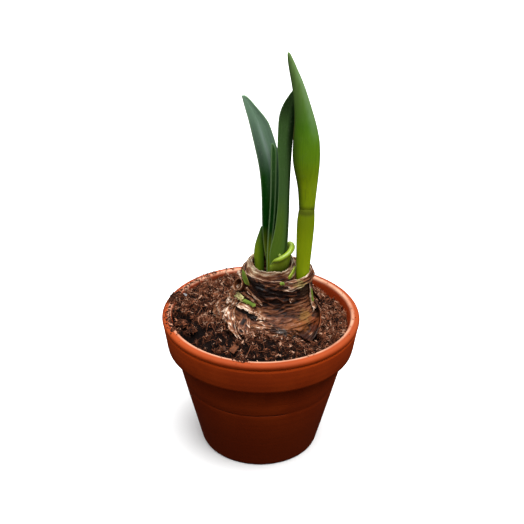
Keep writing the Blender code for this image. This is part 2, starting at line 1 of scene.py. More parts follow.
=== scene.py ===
"""Potted amaryllis: the finished look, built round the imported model.

Laid out as a Blender add-on and run as a script. Metres, +Z up, and -Y is the front.
"""

import math
import random
from typing import NamedTuple

import bmesh
import bpy
from bpy.props import FloatProperty, FloatVectorProperty, IntProperty, PointerProperty
from bpy.types import Operator, Panel, PropertyGroup
from mathutils import Matrix, Vector, noise


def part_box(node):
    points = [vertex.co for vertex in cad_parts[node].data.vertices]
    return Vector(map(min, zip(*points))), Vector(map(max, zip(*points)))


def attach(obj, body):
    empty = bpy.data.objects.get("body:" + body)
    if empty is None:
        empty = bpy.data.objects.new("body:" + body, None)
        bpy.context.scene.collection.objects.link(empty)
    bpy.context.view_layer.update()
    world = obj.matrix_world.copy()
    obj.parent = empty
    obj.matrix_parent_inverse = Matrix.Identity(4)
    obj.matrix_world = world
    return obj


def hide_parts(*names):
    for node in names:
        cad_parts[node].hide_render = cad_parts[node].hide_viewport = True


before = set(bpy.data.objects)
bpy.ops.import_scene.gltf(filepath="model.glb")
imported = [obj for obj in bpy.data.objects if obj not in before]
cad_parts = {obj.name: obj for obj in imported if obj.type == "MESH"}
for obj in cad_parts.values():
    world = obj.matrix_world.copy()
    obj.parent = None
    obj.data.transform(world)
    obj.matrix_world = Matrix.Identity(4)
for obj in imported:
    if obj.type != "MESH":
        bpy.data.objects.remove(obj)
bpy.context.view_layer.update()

bl_info = {
    "name": "Potted Amaryllis",
    "version": (1, 0, 0),
    "blender": (4, 5, 0),
    "location": "3D View > Sidebar > Amaryllis",
    "description": "Models a forced amaryllis bulb in its clay pot",
    "category": "Add Mesh",
}

MERGE = 0.00001  # points nearer than this become one


def tenths(*rows, plain=0):
    """Rows written in tenths of a millimetre, in metres. The last plain columns stay as they are."""
    return tuple(
        tuple(value / 10000 if i < len(row) - plain else value for i, value in enumerate(row)) for row in rows
    )


# Clay pot, a turned profile
POT_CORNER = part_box("pot")[1]
POT_RADIUS = POT_CORNER.x
POT_HEIGHT = POT_CORNER.z
LIP_BEAD = 0.0055
LIP_INNER_RADIUS = 0.0680
COLLAR_HEIGHT = 0.0270
COLLAR_NECK_RADIUS = 0.0742
COLLAR_FOOT_RADIUS = 0.0716
BODY_TOP_RADIUS = 0.0662
BASE_RADIUS = 0.0460
WALL_BELOW_COLLAR = 0.0600
WALL_TOP = POT_HEIGHT - COLLAR_HEIGHT - 0.0040
FLOOR_THICKNESS = 0.0070
FLOOR_EDGE = FLOOR_THICKNESS + 0.0030
FLOOR_RADIUS = 0.0400
DRAIN_RADIUS = 0.0065
GROOVE_HEIGHT = 0.0560

# Soil: surface height at the pot's wall and against the bulb, and its painted light and shade, darkest at the front
# left as the painted shadow of the rim, every 45 degrees from +X
SOIL_AT_WALL = (0.1044, 0.1044, 0.1074, 0.1102, 0.1100, 0.0990, 0.1015, 0.1010)
SOIL_AT_BULB = (0.1034, 0.1018, 0.1040, 0.1060, 0.1062, 0.1050, 0.1066, 0.1040)
SOIL_LIGHT = (0.64, 0.59, 0.57, 0.65, 0.39, 0.26, 0.33, 0.52)
# Mounds and hollows: place, reach, rise and how much lighter: painted light on the mounds, painted shade in the
# hollows
SOIL_RELIEF = tenths(
    (-600, -58, 38, -60, -0.90), (-550, -88, 38, -60, -0.90), (-655, -75, 34, -50, -0.90),
    (-520, -75, 50, 18, 0.20), (-450, -75, 50, 20, 0.22), (-390, -70, 50, 16, 0.16), (-500, -240, 65, -30, -0.40),
    (-435, -195, 45, -26, -0.40), (-570, -300, 66, -58, -0.80), (-510, -390, 66, -58, -0.80),
    (-440, -460, 64, -52, -0.70), (-350, -400, 90, -14, -0.10), (-210, -530, 55, -30, -0.25),
    (-60, -560, 50, -26, -0.30), (-340, 200, 45, -35, -0.50), (-345, 70, 35, -30, -0.50),
    (-450, 100, 35, -28, -0.40), (350, -225, 70, -60, -0.80), (400, -260, 50, -40, -0.60),
    (130, -480, 60, -22, -0.25), (300, -500, 60, -24, -0.28),
    plain=1,
)
# Large clods: place, size and lightness
SOIL_CLODS = tenths(
    (-592, -145, 1068, 100, 0.36), (-515, -200, 1046, 66, 0.26), (-676, 202, 1112, 44, 0.22),
    (-660, 165, 1104, 40, 0.28), (-662, 236, 1108, 38, 0.30), (-440, 330, 1085, 70, 0.55),
    plain=1,
)
SOIL_LEVEL = 0.1050  # where the bulb comes out of the soil
CLUMPS, HEAPED_CRUMBS, GRAINS_PER_METRE = 130, 620, 9000
# How light the soil's painted light and shade has to be for clumps and fibres, for large crumbs and for any
STREWN_LIGHT, HOLLOW_LIGHT, BARE_LIGHT = 0.20, 0.16, 0.09
BED_RINGS, BED_SIDES, BED_TOP = 110, 300, 0.9  # the last is the share of its rings on top
# Crumbs on the lip: middle angle and spread, count and largest size
RIM_CRUMBS = (
    ((187, 9), 170, 0.0014),
    ((203, 4), 80, 0.0014),
    ((166, 4), 200, 0.0021),
    ((259, 2.6), 70, 0.0020),
    ((138, 17), 170, 0.0015),
    ((0, 90), 60, 0.0007),
)
# Chips: name, place, size, turn and colour
CHIPS = (
    ("bark_chip", (-0.0192, -0.0436, 0.1046), (0.0044, 0.0064, 0.0013), (0.50, 0.30, -0.55), (0.23, 0.070, 0.024)),
    ("bark_chip_small", (-0.0262, -0.0415, 0.1034), (0.0018, 0.0034, 0.0009), (0.6, 0.1, 0.5), (0.13, 0.045, 0.020)),
    ("pale_chip", (-0.0595, 0.0238, 0.1106), (0.0026, 0.0016, 0.0009), (0.8, 0.2, -0.3), (0.60, 0.58, 0.60)),
)
# Long pale fibres: one end, the other end and how high they arch
LONG_FIBRES = tenths(
    (-385, -105, -410, -176, 16), (-385, -105, -326, -212, 20), (-492, 62, -464, 169, 18),
    (-445, 142, -379, 23, 16), (-128, -525, -59, -380, 26), (-66, -454, 12, -424, 18), (112, -382, 205, -300, 22),
    (-11, -363, 20, -305, 14), (372, -323, 413, -235, 20), (440, 10, 500, 120, 22), (480, -200, 560, -80, 18),
    (-520, 300, -410, 340, 18),
)

# Bulb: height, centre X and Y, half width and half depth of each level
BULB_LEVELS = tenths(
    (450, 60, 100, 140, 140), (520, 60, 100, 230, 230), (600, 60, 100, 300, 300), (800, 60, 100, 400, 400),
    (950, 63, 100, 415, 410), (1030, 65, 100, 405, 388), (1080, 75, 100, 370, 350), (1130, 90, 98, 330, 300),
    (1180, 110, 95, 285, 250), (1250, 120, 90, 265, 225), (1425, 120, 90, 262, 222),
)
BULB_AXIS = Vector((0.0065, 0.0100, 0.0))
NECK_TOP = 0.1425
NECK_WALL = 0.0014
RIM_FOOT = 0.1372  # where the layers of its rim start
MOUTH_FLOOR = 0.1320
SKIN_FROM = 0.0960  # its folds start here, hidden by the soil
# Heights of its rings: coarse in the soil, then every 1.4 mm
BULB_RINGS = (0.0450, 0.0520, 0.0600, 0.0700, 0.0800, 0.0880, 0.0940, *(0.0965 + 0.0014 * i for i in range(33)))
SCRAPS, SHOULDER_SCRAPS, FOOT_SCRAPS, SCRAPS_LOWEST = 74, 40, 22, 0.1045
SHOULDER_BULGE, SHOULDER_ANGLE, SHOULDER_SPREAD = 0.0060, 188.0, 42.0
SHOULDER_HEIGHT, SHOULDER_REACH = 0.1190, 0.020

ALONG, ACROSS = "along", "across"


class Sheet(NamedTuple):
    """A loose sheet of the tunic. Each corner is an angle, a height and a distance off the bulb."""

    corners: tuple  # the root's two, then the free end's two
    tone: float  # dark to pale
    fresh: float = 0.0  # 0.4 cream, 1 green
    way: str = ALONG  # how its fibres run
    bow: float = 0.0016
    torn: float = 0.2
    lens: float = 0.0  # how far both ends narrow
    stained: float = 0.0  # how far it takes the bulb's patches
    crumple: float = 1.0
    swell: float = 0.0  # how far the middle of its free edge stands out
    size: tuple = (20, 26)


def flap(corners, tone, fresh=0.0, **others):
    """A sheet from its corners' angles in degrees, and their heights and lifts in tenths of a millimetre."""
    heights, lifts = tenths(corners[1::3], corners[2::3])
    return Sheet(tuple(zip(corners[::3], heights, lifts)), tone, fresh, **others)


def band(*shape, **others):
    """A flap whose fibres run round the bulb."""
    return flap(*shape, way=ACROSS, **others)


SHEETS = (
    # Pale pointed flake at the left, and the browner one beside it
    flap((188, 1190, 10, 211, 1180, 8, 244, 1052, 62, 236, 1060, 84), 0.58,
         bow=0.0026, torn=0.14, lens=0.55, crumple=1.05),
    flap((222, 1146, 0, 242, 1134, 0, 252, 1056, 36, 239, 1058, 42), 0.42,
         bow=0.0018, torn=0.25, lens=0.25, crumple=1.05),
    # White curl over a dark hollow; the black sheet under it is painted shade
    band((210, 1214, 10, 236, 1192, 8, 238, 1176, 36, 213, 1194, 48), 0.98, bow=0.0010, torn=0.25),
    band((236, 1186, 6, 247, 1172, 3, 248, 1160, 12, 238, 1168, 18), 0.72, bow=0.0004, torn=0.3),
    band((247, 1166, 3, 258, 1154, 2, 259, 1140, 10, 248, 1146, 14), 0.86, bow=0.0006, torn=0.3),
    band((219, 1184, 4, 247, 1164, 4, 248, 1136, 7, 221, 1152, 7), -0.9, bow=0.0002, torn=0.2),
    # Fresh scale seen through the tear, and the ridges above it
    band((213, 1246, 12, 237, 1231, 10, 236, 1209, 16, 212, 1222, 18), 0.5, 1.0,
         bow=0.0004, torn=0.25, lens=0.15),
    band((200, 1280, 20, 214, 1258, 16, 213, 1222, 24, 200, 1240, 30), 0.5, 0.4, bow=0.0004, torn=0.5),
    band((207, 1292, 6, 232, 1260, 6, 231, 1246, 13, 208, 1274, 10), 0.60, bow=0.0002, torn=0.3, crumple=0.5),
    band((213, 1338, 4, 245, 1252, 3, 245, 1247, 11, 213, 1332, 8), 0.92, bow=0.0, torn=0.1, crumple=0.4),
    band((216, 1312, 4, 246, 1240, 3, 246, 1236, 9, 216, 1307, 7), 0.84, bow=0.0, torn=0.1, crumple=0.4),
    flap((189, 1450, 8, 212, 1446, 8, 226, 1362, 12, 208, 1364, 14), 0.5, 1.0,
         bow=0.0004, torn=0.05, lens=0.42),
    flap((272, 1440, 6, 281, 1440, 6, 281, 1418, 10, 274, 1416, 10), 0.5, 1.0, bow=0.0004, torn=0.4, lens=0.6),
    flap((183, 1376, 14, 198, 1376, 10, 196, 1420, 18, 186, 1416, 26), 1.15,
         bow=0.0010, torn=0.45, crumple=1.05),
    flap((335, 1300, 4, 347, 1300, 4, 346, 1186, 12, 337, 1182, 12), 0.5, 0.9, bow=0.0002, torn=0.05),
    flap((331, 1390, 3, 336, 1390, 3, 337, 1186, 12, 333, 1186, 12), 0.85, bow=0.0, torn=0.05, lens=0.3),
    # Crumpled paper over the left shoulder
    flap((160, 1370, 0, 192, 1355, 0, 199, 1170, 22, 166, 1160, 24), 0.35, bow=0.0014, torn=0.15, crumple=1.45),
    flap((180, 1350, 6, 197, 1330, 6, 203, 1190, 24, 185, 1180, 30), 0.50, bow=0.0014, torn=0.25, crumple=1.7),
    flap((190, 1300, 10, 205, 1270, 10, 209, 1160, 20, 195, 1150, 26), 0.50, bow=0.0012, torn=0.3, crumple=1.6),
    flap((166, 1230, 6, 196, 1215, 6, 203, 1050, 20, 172, 1048, 20), 0.36, bow=0.0014, torn=0.2, crumple=1.4),
    flap((186, 1190, 6, 208, 1175, 4, 216, 1048, 12, 190, 1046, 18), 0.40, bow=0.0014, torn=0.25, crumple=1.6),
    band((132, 1350, 0, 168, 1370, 0, 173, 1110, 22, 128, 1120, 18), 0.36, torn=0.12, crumple=0.8),
    band((138, 1220, 0, 176, 1200, 0, 180, 1050, 16, 136, 1050, 16), 0.32, torn=0.12, crumple=0.8),
    # Right flap, which stands open over a hollow, and the paper above it
    band((354, 1128, 0, 306, 1018, 22, 306, 1044, 120, 346, 1206, 18), 0.36,
         bow=0.0012, torn=0.05, stained=1.0, size=(40, 14), swell=0.0032),
    flap((348, 1204, 4, 336, 1190, 4, 332, 1146, 16, 348, 1150, 24), 0.80, bow=0.0008, torn=0.3),
    # Orange fold low at the right, and the dark fibrous skin under it: dark red skin, and painted shade of the hollow
    # there
    band((268, 1116, 2, 340, 1142, 2, 338, 1090, 30, 270, 1082, 22), 0.33,
         bow=0.0010, torn=0.35, lens=0.2, stained=1.0, size=(46, 12)),
    flap((288, 1090, 2, 338, 1094, 2, 334, 1020, 20, 292, 1022, 16), -0.05,
         bow=0.0006, torn=0.5, stained=1.0, size=(36, 10)),
    # Back
    band((52, 1230, 0, 94, 1250, 0, 98, 1086, 30, 56, 1076, 26), 0.46, torn=0.12, crumple=0.7),
    band((92, 1270, 0, 126, 1270, 0, 130, 1120, 26, 94, 1140, 34), 0.42, torn=0.12, crumple=0.7),
    band((14, 1270, 0, 48, 1250, 0, 52, 1096, 26, 16, 1076, 30), 0.42, torn=0.12, crumple=0.7),
    # Papery edge under the neck's rim at the right, and at the back
    band((286, 1430, 4, 392, 1430, 4, 392, 1386, 12, 284, 1378, 14), 0.70,
         bow=0.0003, torn=0.45, stained=1.0, size=(70, 10)),
    band((100, 1430, 4, 186, 1430, 4, 186, 1390, 12, 100, 1384, 12), 0.48, bow=0.0003, torn=0.3, size=(60, 8)),
    # Dark skin round the neck, with a ragged lower edge
    band((236, 1395, 1, 304, 1390, 1, 300, 1268, 9, 238, 1300, 7), 0.12,
         bow=0.0002, torn=0.22, stained=1.0, size=(60, 14)),
    band((20, 1395, 1, 150, 1390, 1, 150, 1260, 9, 20, 1280, 8), 0.24, bow=0.0002, torn=0.22, size=(60, 14)),
    # Torn edges low on the front
    band((238, 1138, 2, 272, 1130, 2, 270, 1100, 13, 240, 1104, 16), 0.60, bow=0.0003, torn=0.5, lens=0.5),
    band((244, 1104, 2, 284, 1092, 2, 282, 1066, 14, 246, 1068, 18), 0.52, bow=0.0003, torn=0.5, lens=0.5),
    flap((288, 1302, 2, 296, 1300, 2, 296, 1262, 8, 289, 1264, 10), 0.66, bow=0.0006, torn=0.2, lens=0.8),
)
# Patches of the skin: place, radius and colour
# The darkest patches are painted shade: in the gap under the neck's rim at the front left, in the hollow under the
# white curl and in the hollow low at the right.
PATCHES = tenths(
    (345, -125, 1140, 78, (0.20, 0.092, 0.020)), (300, -190, 1085, 85, (0.20, 0.060, 0.012)),
    (210, -245, 1090, 70, (0.18, 0.055, 0.014)), (420, -130, 1110, 85, (0.18, 0.042, 0.010)),
    (155, -262, 1072, 46, (0.095, 0.083, 0.075)), (420, -160, 1045, 66, (0.050, 0.010, 0.004)),
    (330, -240, 1040, 70, (0.030, 0.007, 0.003)), (240, -108, 1292, 30, (0.12, 0.050, 0.028)),
    (345, -50, 1330, 85, (0.036, 0.015, 0.005)), (290, -100, 1400, 60, (0.26, 0.19, 0.060)),
    (-12, -112, 1378, 56, (0.003, 0.001, 0.001)), (-60, -90, 1395, 56, (0.003, 0.001, 0.001)),
    (-105, -45, 1400, 46, (0.003, 0.001, 0.001)), (60, -130, 1362, 36, (0.006, 0.002, 0.001)),
    (-85, -150, 1150, 40, (0.006, 0.002, 0.001)), (-40, -175, 1140, 34, (0.012, 0.004, 0.001)),
    plain=1,
)

# Layers of the cut neck: inset, drop and tone
RIM_LAYERS = ((0.0002, 0.0, 0.50), (0.0009, -0.0004, 0.98), (0.0015, 0.0007, 0.30), (0.0021, 0.0008, 0.72))
# Rolled flake: the middle of its mouth, and the way it runs
ROLL_MOUTH = Vector((-0.0178, -0.0016, 0.1346))
ROLL_AXIS = Vector((0.45, 0.65, -0.60)).normalized()

# Inner papery collar: centre X and Y, half width and half depth at its lip and at its skirt
COLLAR_LIP = (0.0078, 0.0086, 0.0156, 0.0140)
COLLAR_SKIRT = (0.0060, 0.0090, 0.0176, 0.0158)
COLLAR_LIP_HEIGHT = 0.1510
COLLAR_SKIRT_HEIGHT = 0.1433
COLLAR_TILT = 0.30
COLLAR_SQUARENESS = 2.2
# Its layers: how far out and how far down, how pale, and how much painted shade at the left, where the neck stands
# off
COLLAR_LAYERS = (
    (-0.0010, 0.0012, 0.56, 0.0),
    (-0.0002, 0.0, 1.10, 0.0),
    (0.0006, 0.0022, 0.92, 0.0),
    (0.0014, 0.0046, 0.78, 0.0),
    (0.0023, 0.0064, 0.62, 0.70),
)

# Blades: height, left edge X, right edge X, depth Y of each station
LEAF_LEFT = tenths(
    (1323, 40, 85, 112), (1480, 44, 86, 110), (1580, 19, 98, 108), (1680, 9, 112, 107), (1780, 0, 124, 108),
    (1910, -3, 129, 112), (2100, -9, 132, 120), (2260, -29, 126, 130), (2375, -55, 95, 139), (2510, -87, 52, 151),
    (2580, -103, 26, 158), (2680, -133, -63, 168), (2728, -145, -102, 174), (2747, -150, -126, 176),
    (2756, -152, -141, 176),
)
LEAF_MIDDLE = tenths(
    (1323, 96, 150, 58), (1420, 80, 160, 56), (1515, 60, 167, 52), (1596, 60, 182, 50), (1691, 84, 189, 50),
    (1803, 102, 191, 55), (1906, 112, 193, 62), (2076, 120, 192, 78), (2267, 116, 196, 99), (2392, 102, 202, 112),
    (2453, 105, 205, 117), (2573, 105, 219, 128), (2650, 114, 231, 134), (2726, 145, 234, 141),
    (2804, 200, 239, 147), (2829, 220, 231, 149),
)
LEAF_INNER = tenths(
    (1323, 46, 62, 76), (1541, 42, 62, 77), (1691, 45, 74, 80), (1797, 51, 85, 82), (2005, 61, 93, 85),
    (2267, 59, 93, 95), (2377, 60, 91, 99), (2410, 62, 75, 100), (2429, 62, 66, 100),
)
SHEATH_LEFT = tenths(
    (1323, -36, 12, 118), (1410, -44, 12, 118), (1485, -51, 12, 117), (1551, -55, 12, 116), (1609, -49, 10, 114),
    (1674, -32, 8, 112), (1732, -13, 6, 110), (1776, -2, 6, 110),
)
# Each blade: stations, turn in degrees, hollow as a share of its width, thickness
BLADES = {
    "leaf_left": (LEAF_LEFT, 16, 0.16, 0.0012),
    "leaf_middle": (LEAF_MIDDLE, -6, 0.10, 0.0012),
    "leaf_inner": (LEAF_INNER, 0, 0.25, 0.0009),
    "leaf_sheath_left": (SHEATH_LEFT, -10, -0.22, 0.0017),
}

BLADE_EDGE = 0.0004  # what subdividing takes off each edge
ROOTED = MOUTH_FLOOR + 0.0003  # where the sheaths start, inside the neck

# Curled sheath at the right of the tuft
CUP_WALL = 0.0019
ROLL_FROM = 0.8  # the share of its height below its rolled rim
CUP_AXIS = (0.0126, 0.0070)
CUP_FROM, CUP_TO = -136.0, 42.0
CUP_RADII = ((0.0, 0.0056), (0.45, 0.0069), (0.62, 0.0079), (0.85, 0.0087), (1.0, 0.0085))
CUP_NUB = (0.0134, 0.0044, 0.1560)
CUP_RIM_HEIGHTS = (0.1490, 0.1548, 0.1570, 0.1592, 0.1611, 0.1624, 0.1630, 0.1618)

SCALE_WALL = 0.0011  # of the fresh scale beside the stalk

# Stalk and bud: height, centre X, half width, centre Y
STALK = tenths(
    (1323, 306, 44, 62), (1400, 308, 49, 60), (1470, 310, 53, 60), (1565, 312, 57, 58), (1650, 314, 61, 56),
    (1736, 316, 64, 54), (1807, 318, 66, 53), (1872, 319, 65, 52), (1936, 322, 59, 50),
)
BUD = tenths(
    (1940, 323, 58, 50), (2005, 322, 62, 50), (2073, 322, 67, 49), (2137, 320, 74, 48), (2195, 316, 82, 47),
    (2253, 311, 91, 45), (2314, 307, 98, 44), (2392, 304, 100, 43), (2486, 302, 95, 41), (2590, 292, 80, 38),
    (2670, 280, 68, 35), (2791, 255, 53, 31), (2896, 228, 43, 28), (2961, 206, 35, 25), (3024, 186, 27, 23),
    (3080, 169, 17, 21), (3114, 160, 8, 20),
)
BUD_FLATNESS = 0.88
THINNEST = 0.0006  # radius below which a stem counts as a point
# The stalk's end inside the bud, and the bud's foot over it: height and inset
STALK_TOP = tenths((1950, 2), (1964, 7), (1976, 16), (1980, 34))
BUD_FOOT = tenths((1896, 34), (1900, 16), (1912, 7), (1926, 2))

# What the camera looks at, how bright its background is and how far the floor reaches
CAMERA_TARGET = Vector((0.0002785, 0.0, 0.15312))
BACKGROUND = 0.97
STAGE_RADIUS = 6.0


# Shader maths

class Value:
    """A socket of a node tree, for maths written as Python expressions."""

    def __init__(self, nodes, socket):
        self.nodes = nodes
        self.socket = socket

    def maths(self, operation, *values):
        return self.nodes.node("Math", {"operation": operation}, dict(enumerate(values)))

    def __add__(self, other):
        return self.maths("ADD", self, other)

    def __sub__(self, other):
        return self.maths("SUBTRACT", self, other)

    def __rsub__(self, other):
        return self.maths("SUBTRACT", other, self)

    def __mul__(self, other):
        return self.maths("MULTIPLY", self, other)

    def __truediv__(self, other):
        return self.maths("DIVIDE", self, other)

    def __abs__(self):
        return self.maths("ABSOLUTE", self)

    __radd__ = __add__
    __rmul__ = __mul__

    def step(self, low, high):
        """0 below low, 1 above high and smooth between them. low may be the greater, which turns it over."""
        ends = {"Value": self, "From Min": min(low, high), "From Max": max(low, high)}
        share = self.nodes.node("MapRange", {"interpolation_type": "SMOOTHSTEP"}, ends)
        return share if low <= high else 1 - share

    def ramp(self, *stops):
        """A colour along the stops, each a position and a colour."""
        return self.nodes.node("ValToRGB", {"stops": stops}, {"Fac": self})


class Nodes:
    """A node tree, filled in code."""

    def __init__(self, tree):
        self.tree = tree

    def put(self, socket, value):
        if isinstance(value, Value):
            self.tree.links.new(value.socket, socket)
        elif socket.type == "RGBA":
            socket.default_value = (*value, 1.0)
        else:
            socket.default_value = value

    def node(self, kind, settings, inputs, output=0):
        """Adds a node of a type, sets it up, then fills its sockets with values or links."""
        made = self.tree.nodes.new("ShaderNode" + kind)
        for name, value in settings.items():
            if name != "stops":
                setattr(made, name, value)
                continue
            elements = made.color_ramp.elements
            for position, _ in value[2:]:
                elements.new(position)
            for element, (position, colour) in zip(elements, value):
                element.position = position
                element.color = (*colour, 1.0)
        for name, value in inputs.items():
            self.put(made.inputs[name], value)
        return Value(self, made.outputs[output])

    def mix(self, share, first, second):
        return self.node("Mix", {"data_type": "RGBA"}, {0: share, 6: first, 7: second}, 2)


class Finish(Nodes):
    """A Principled material whose varying channels are set from expressions."""

    def __init__(self, name, **constants):
        self.material = bpy.data.materials.new(name)
        self.material.use_nodes = True
        super().__init__(self.material.node_tree)
        self.shader = self.tree.nodes["Principled BSDF"]
        self.colour = None
        self.wear(**constants)

    def wear(self, **channels):
        """Sets or links the shader's channels, and returns the material."""
        for name, value in channels.items():
            self.put(self.shader.inputs[name.replace("_", " ").title().replace("Ior", "IOR")], value)
        return self.material

    def paint(self, share, colour):
        """Lays a colour over the finish's own colour, by a share."""
        self.colour = self.mix(share, self.colour, colour)

    def place(self):
        return self.node("TexCoord", {}, {}, "Object")

    def axis(self, name):
        return self.node("SeparateXYZ", {}, {"Vector": self.place()}, name)

    def attribute(self, name, output="Fac"):
        return self.node("Attribute", {"attribute_name": name}, {}, output)

    def vector(self, operation, *values, output=0):
        return self.node("VectorMath", {"operation": operation}, dict(enumerate(values)), output)

    def joined(self, x, y, z):
        return self.node("CombineXYZ", {}, {0: x, 1: y, 2: z})

    def noise(self, at, scale, detail=4.0, roughness=0.55, distortion=0.0, output="Fac"):
        inputs = {"Vector": at, "Scale": scale, "Detail": detail, "Roughness": roughness, "Distortion": distortion}
        return self.node("TexNoise", {}, inputs, output)

    def stretched(self, *scale):
        return self.node("Mapping", {}, {"Vector": self.place(), "Scale": scale})

    def near(self, point, radius, at=None):
        """1 in the middle of a point's radius, fading outwards."""
        return self.vector("DISTANCE", at or self.place(), point, output="Value").step(radius, radius * 0.5)

    def bump(self, height, distance, strength=1.0):
        return self.node("Bump", {}, {"Height": height, "Distance": distance, "Strength": strength})


# Modelling

def clamp(value, low=0.0, high=1.0):
    return min(max(value, low), high)


def smoothstep(t):
    t = clamp(t)
    return t * t * (3.0 - 2.0 * t)


def along(stations, at):
    """The values beside a smooth curve through the stations, whose first column rises."""
    last = len(stations) - 1
    i = 0
    while i < last - 1 and stations[i + 1][0] < at:
        i += 1
    before, low = stations[max(i - 1, 0)], stations[i]
    high, after = stations[i + 1], stations[min(i + 2, last)]
    step = high[0] - low[0]
    t = clamp((at - low[0]) / step)
    found = []
    for column in range(1, len(low)):
        slope_low = (high[column] - before[column]) / (high[0] - before[0]) * step
        slope_high = (after[column] - low[column]) / (after[0] - low[0]) * step
        found.append(
            (2 * t**3 - 3 * t**2 + 1) * low[column]
            + (t**3 - 2 * t**2 + t) * slope_low
            + (3 * t**2 - 2 * t**3) * high[column]
            + (t**3 - t**2) * slope_high
        )
    return found


def around(values, angle):
    """A smooth value at an angle in radians, from values spaced evenly round the circle."""
    place = (angle / math.tau * len(values)) % len(values)
    i = int(place)
    share = smoothstep(place - i)
    return values[i % len(values)] * (1 - share) + values[(i + 1) % len(values)] * share


def rough(point, seed=0.0):
    """Smooth noise from -1 to 1 at a point."""
    return noise.noise(Vector(point) + Vector((seed * 7.3, seed * 3.1, seed * 11.7)))


def rough_round(angle, pitch, seed, height=0.0):
    """Smooth noise round a circle, finer with a greater pitch."""
    return rough((math.cos(angle) * pitch, math.sin(angle) * pitch, height), seed)


def on_oval(oval, angle, height, out=0.0):
    """A point at an angle in radians on an oval, which is its centre X and Y, half width and half depth."""
    x, y, width, depth = oval
    return Vector((x + (width + out) * math.cos(angle), y + (depth + out) * math.sin(angle), height))


def select_only(obj):
    bpy.ops.object.select_all(action="DESELECT")
    obj.select_set(True)
    bpy.context.view_layer.objects.active = obj


def edit(obj):
    select_only(obj)
    bpy.ops.object.mode_set(mode="EDIT")
    bpy.ops.mesh.select_all(action="SELECT")


def leave_edit(merge=False, outwards=False):
    """Leaves edit mode, with doubled points merged and faces turned outwards if asked."""
    bpy.ops.mesh.select_all(action="SELECT")
    if merge:
        bpy.ops.mesh.remove_doubles(threshold=MERGE)
    if outwards:
        bpy.ops.mesh.normals_make_consistent(inside=False)
    bpy.ops.object.mode_set(mode="OBJECT")


def start(name, primitive, **settings):
    """Adds a primitive with nothing else selected."""
    bpy.ops.object.select_all(action="DESELECT")
    getattr(bpy.ops.mesh, f"primitive_{primitive}_add")(**settings)
    obj = bpy.context.object
    obj.name = name
    return obj


def apply_modifier(obj, kind, **settings):
    select_only(obj)
    modifier = obj.modifiers.new(kind.lower(), kind)
    for name, value in settings.items():
        setattr(modifier, name, value)
    bpy.ops.object.modifier_apply(modifier=modifier.name)


def subdivide(obj, levels):
    apply_modifier(obj, "SUBSURF", levels=levels, render_levels=levels)


def thicken(obj, thickness, offset=0.0):
    apply_modifier(obj, "SOLIDIFY", thickness=thickness, offset=offset)


def settle(obj):
    """Puts the object at the origin, with its place in its mesh."""
    select_only(obj)
    bpy.ops.object.transform_apply(location=True, rotation=True, scale=True)


def sculpt(obj, mover):
    """Moves each point of a mesh to mover(point)."""
    for vertex in obj.data.vertices:
        vertex.co = mover(vertex.co)
    obj.data.update()


def mark(obj, name, measure, kind="FLOAT"):
    """Stores measure(point) for each point of the mesh, for its material to read."""
    attribute = obj.data.attributes.new(name, kind, "POINT")
    field = "value" if kind == "FLOAT" else "vector"
    for vertex, datum in zip(obj.data.vertices, attribute.data):
        setattr(datum, field, measure(vertex.co))


def mark_fibre(obj):
    """Fibre coordinates that run round a piece."""
    mark(obj, "fibre", lambda co: Vector((co.x * 0.10, co.y * 0.10, co.z)), "FLOAT_VECTOR")


def draw_up(name, sections, sides):
    """A round form drawn up ring by ring: extrude, move, scale. A section is x, y, z, half width, half depth."""
    x, y, z, width, depth = sections[0]
    obj = start(name, "circle", vertices=sides, radius=1.0, fill_type="NGON", location=(x, y, z))
    obj.scale = (width, depth, 1.0)
    settle(obj)
    edit(obj)
    for before, after in zip(sections, sections[1:]):
        step = [b - a for a, b in zip(before[:3], after[:3])]
        bpy.ops.mesh.extrude_region_move(TRANSFORM_OT_translate={"value": step})
        grow = (after[3] / before[3], after[4] / before[4], 1.0)
        bpy.ops.transform.resize(value=grow, center_override=after[:3])
    leave_edit(outwards=True)
    return obj


def draw_blade(name, stations, columns, turn, hollow):
    """A blade drawn up from a bowed row of edges: extrude, move, scale."""
    obj = start(name, "plane", size=1.0)
    edit(obj)
    bpy.ops.mesh.select_all(action="DESELECT")
    bm = bmesh.from_edit_mesh(obj.data)
    for vertex in bm.verts:
        vertex.select = vertex.co.y > 0
    bm.select_flush(True)
    bpy.ops.mesh.delete(type="VERT")
    bpy.ops.mesh.select_all(action="SELECT")
    bpy.ops.mesh.subdivide(number_cuts=columns - 1)
    bm = bmesh.from_edit_mesh(obj.data)
    stations = [(z, left - BLADE_EDGE, right + BLADE_EDGE, y) for z, left, right, y in stations]
    low, left, right, depth = stations[0]
    width = right - left
    cos_turn, sin_turn = math.cos(math.radians(turn)), math.sin(math.radians(turn))
    for vertex in bm.verts:
        side = 2 * vertex.co.x
        bow = hollow * (0.5 - side * side)
        vertex.co.x = (left + right) / 2 + width * (side / 2 - bow * sin_turn)
        vertex.co.y = depth + width * (side / 2 * sin_turn / cos_turn + bow * cos_turn)
        vertex.co.z = low
    bmesh.update_edit_mesh(obj.data)
    bpy.ops.mesh.select_all(action="SELECT")
    for before, after in zip(stations, stations[1:]):
        centres = [((s[1] + s[2]) / 2, s[3], s[0]) for s in (before, after)]
        widths = [s[2] - s[1] for s in (before, after)]
        step = [b - a for a, b in zip(*centres)]
        bpy.ops.mesh.extrude_region_move(TRANSFORM_OT_translate={"value": step})
        grow = widths[1] / widths[0]
        bpy.ops.transform.resize(value=(grow, grow, 1.0), center_override=centres[1])
    leave_edit(outwards=True)
    return obj


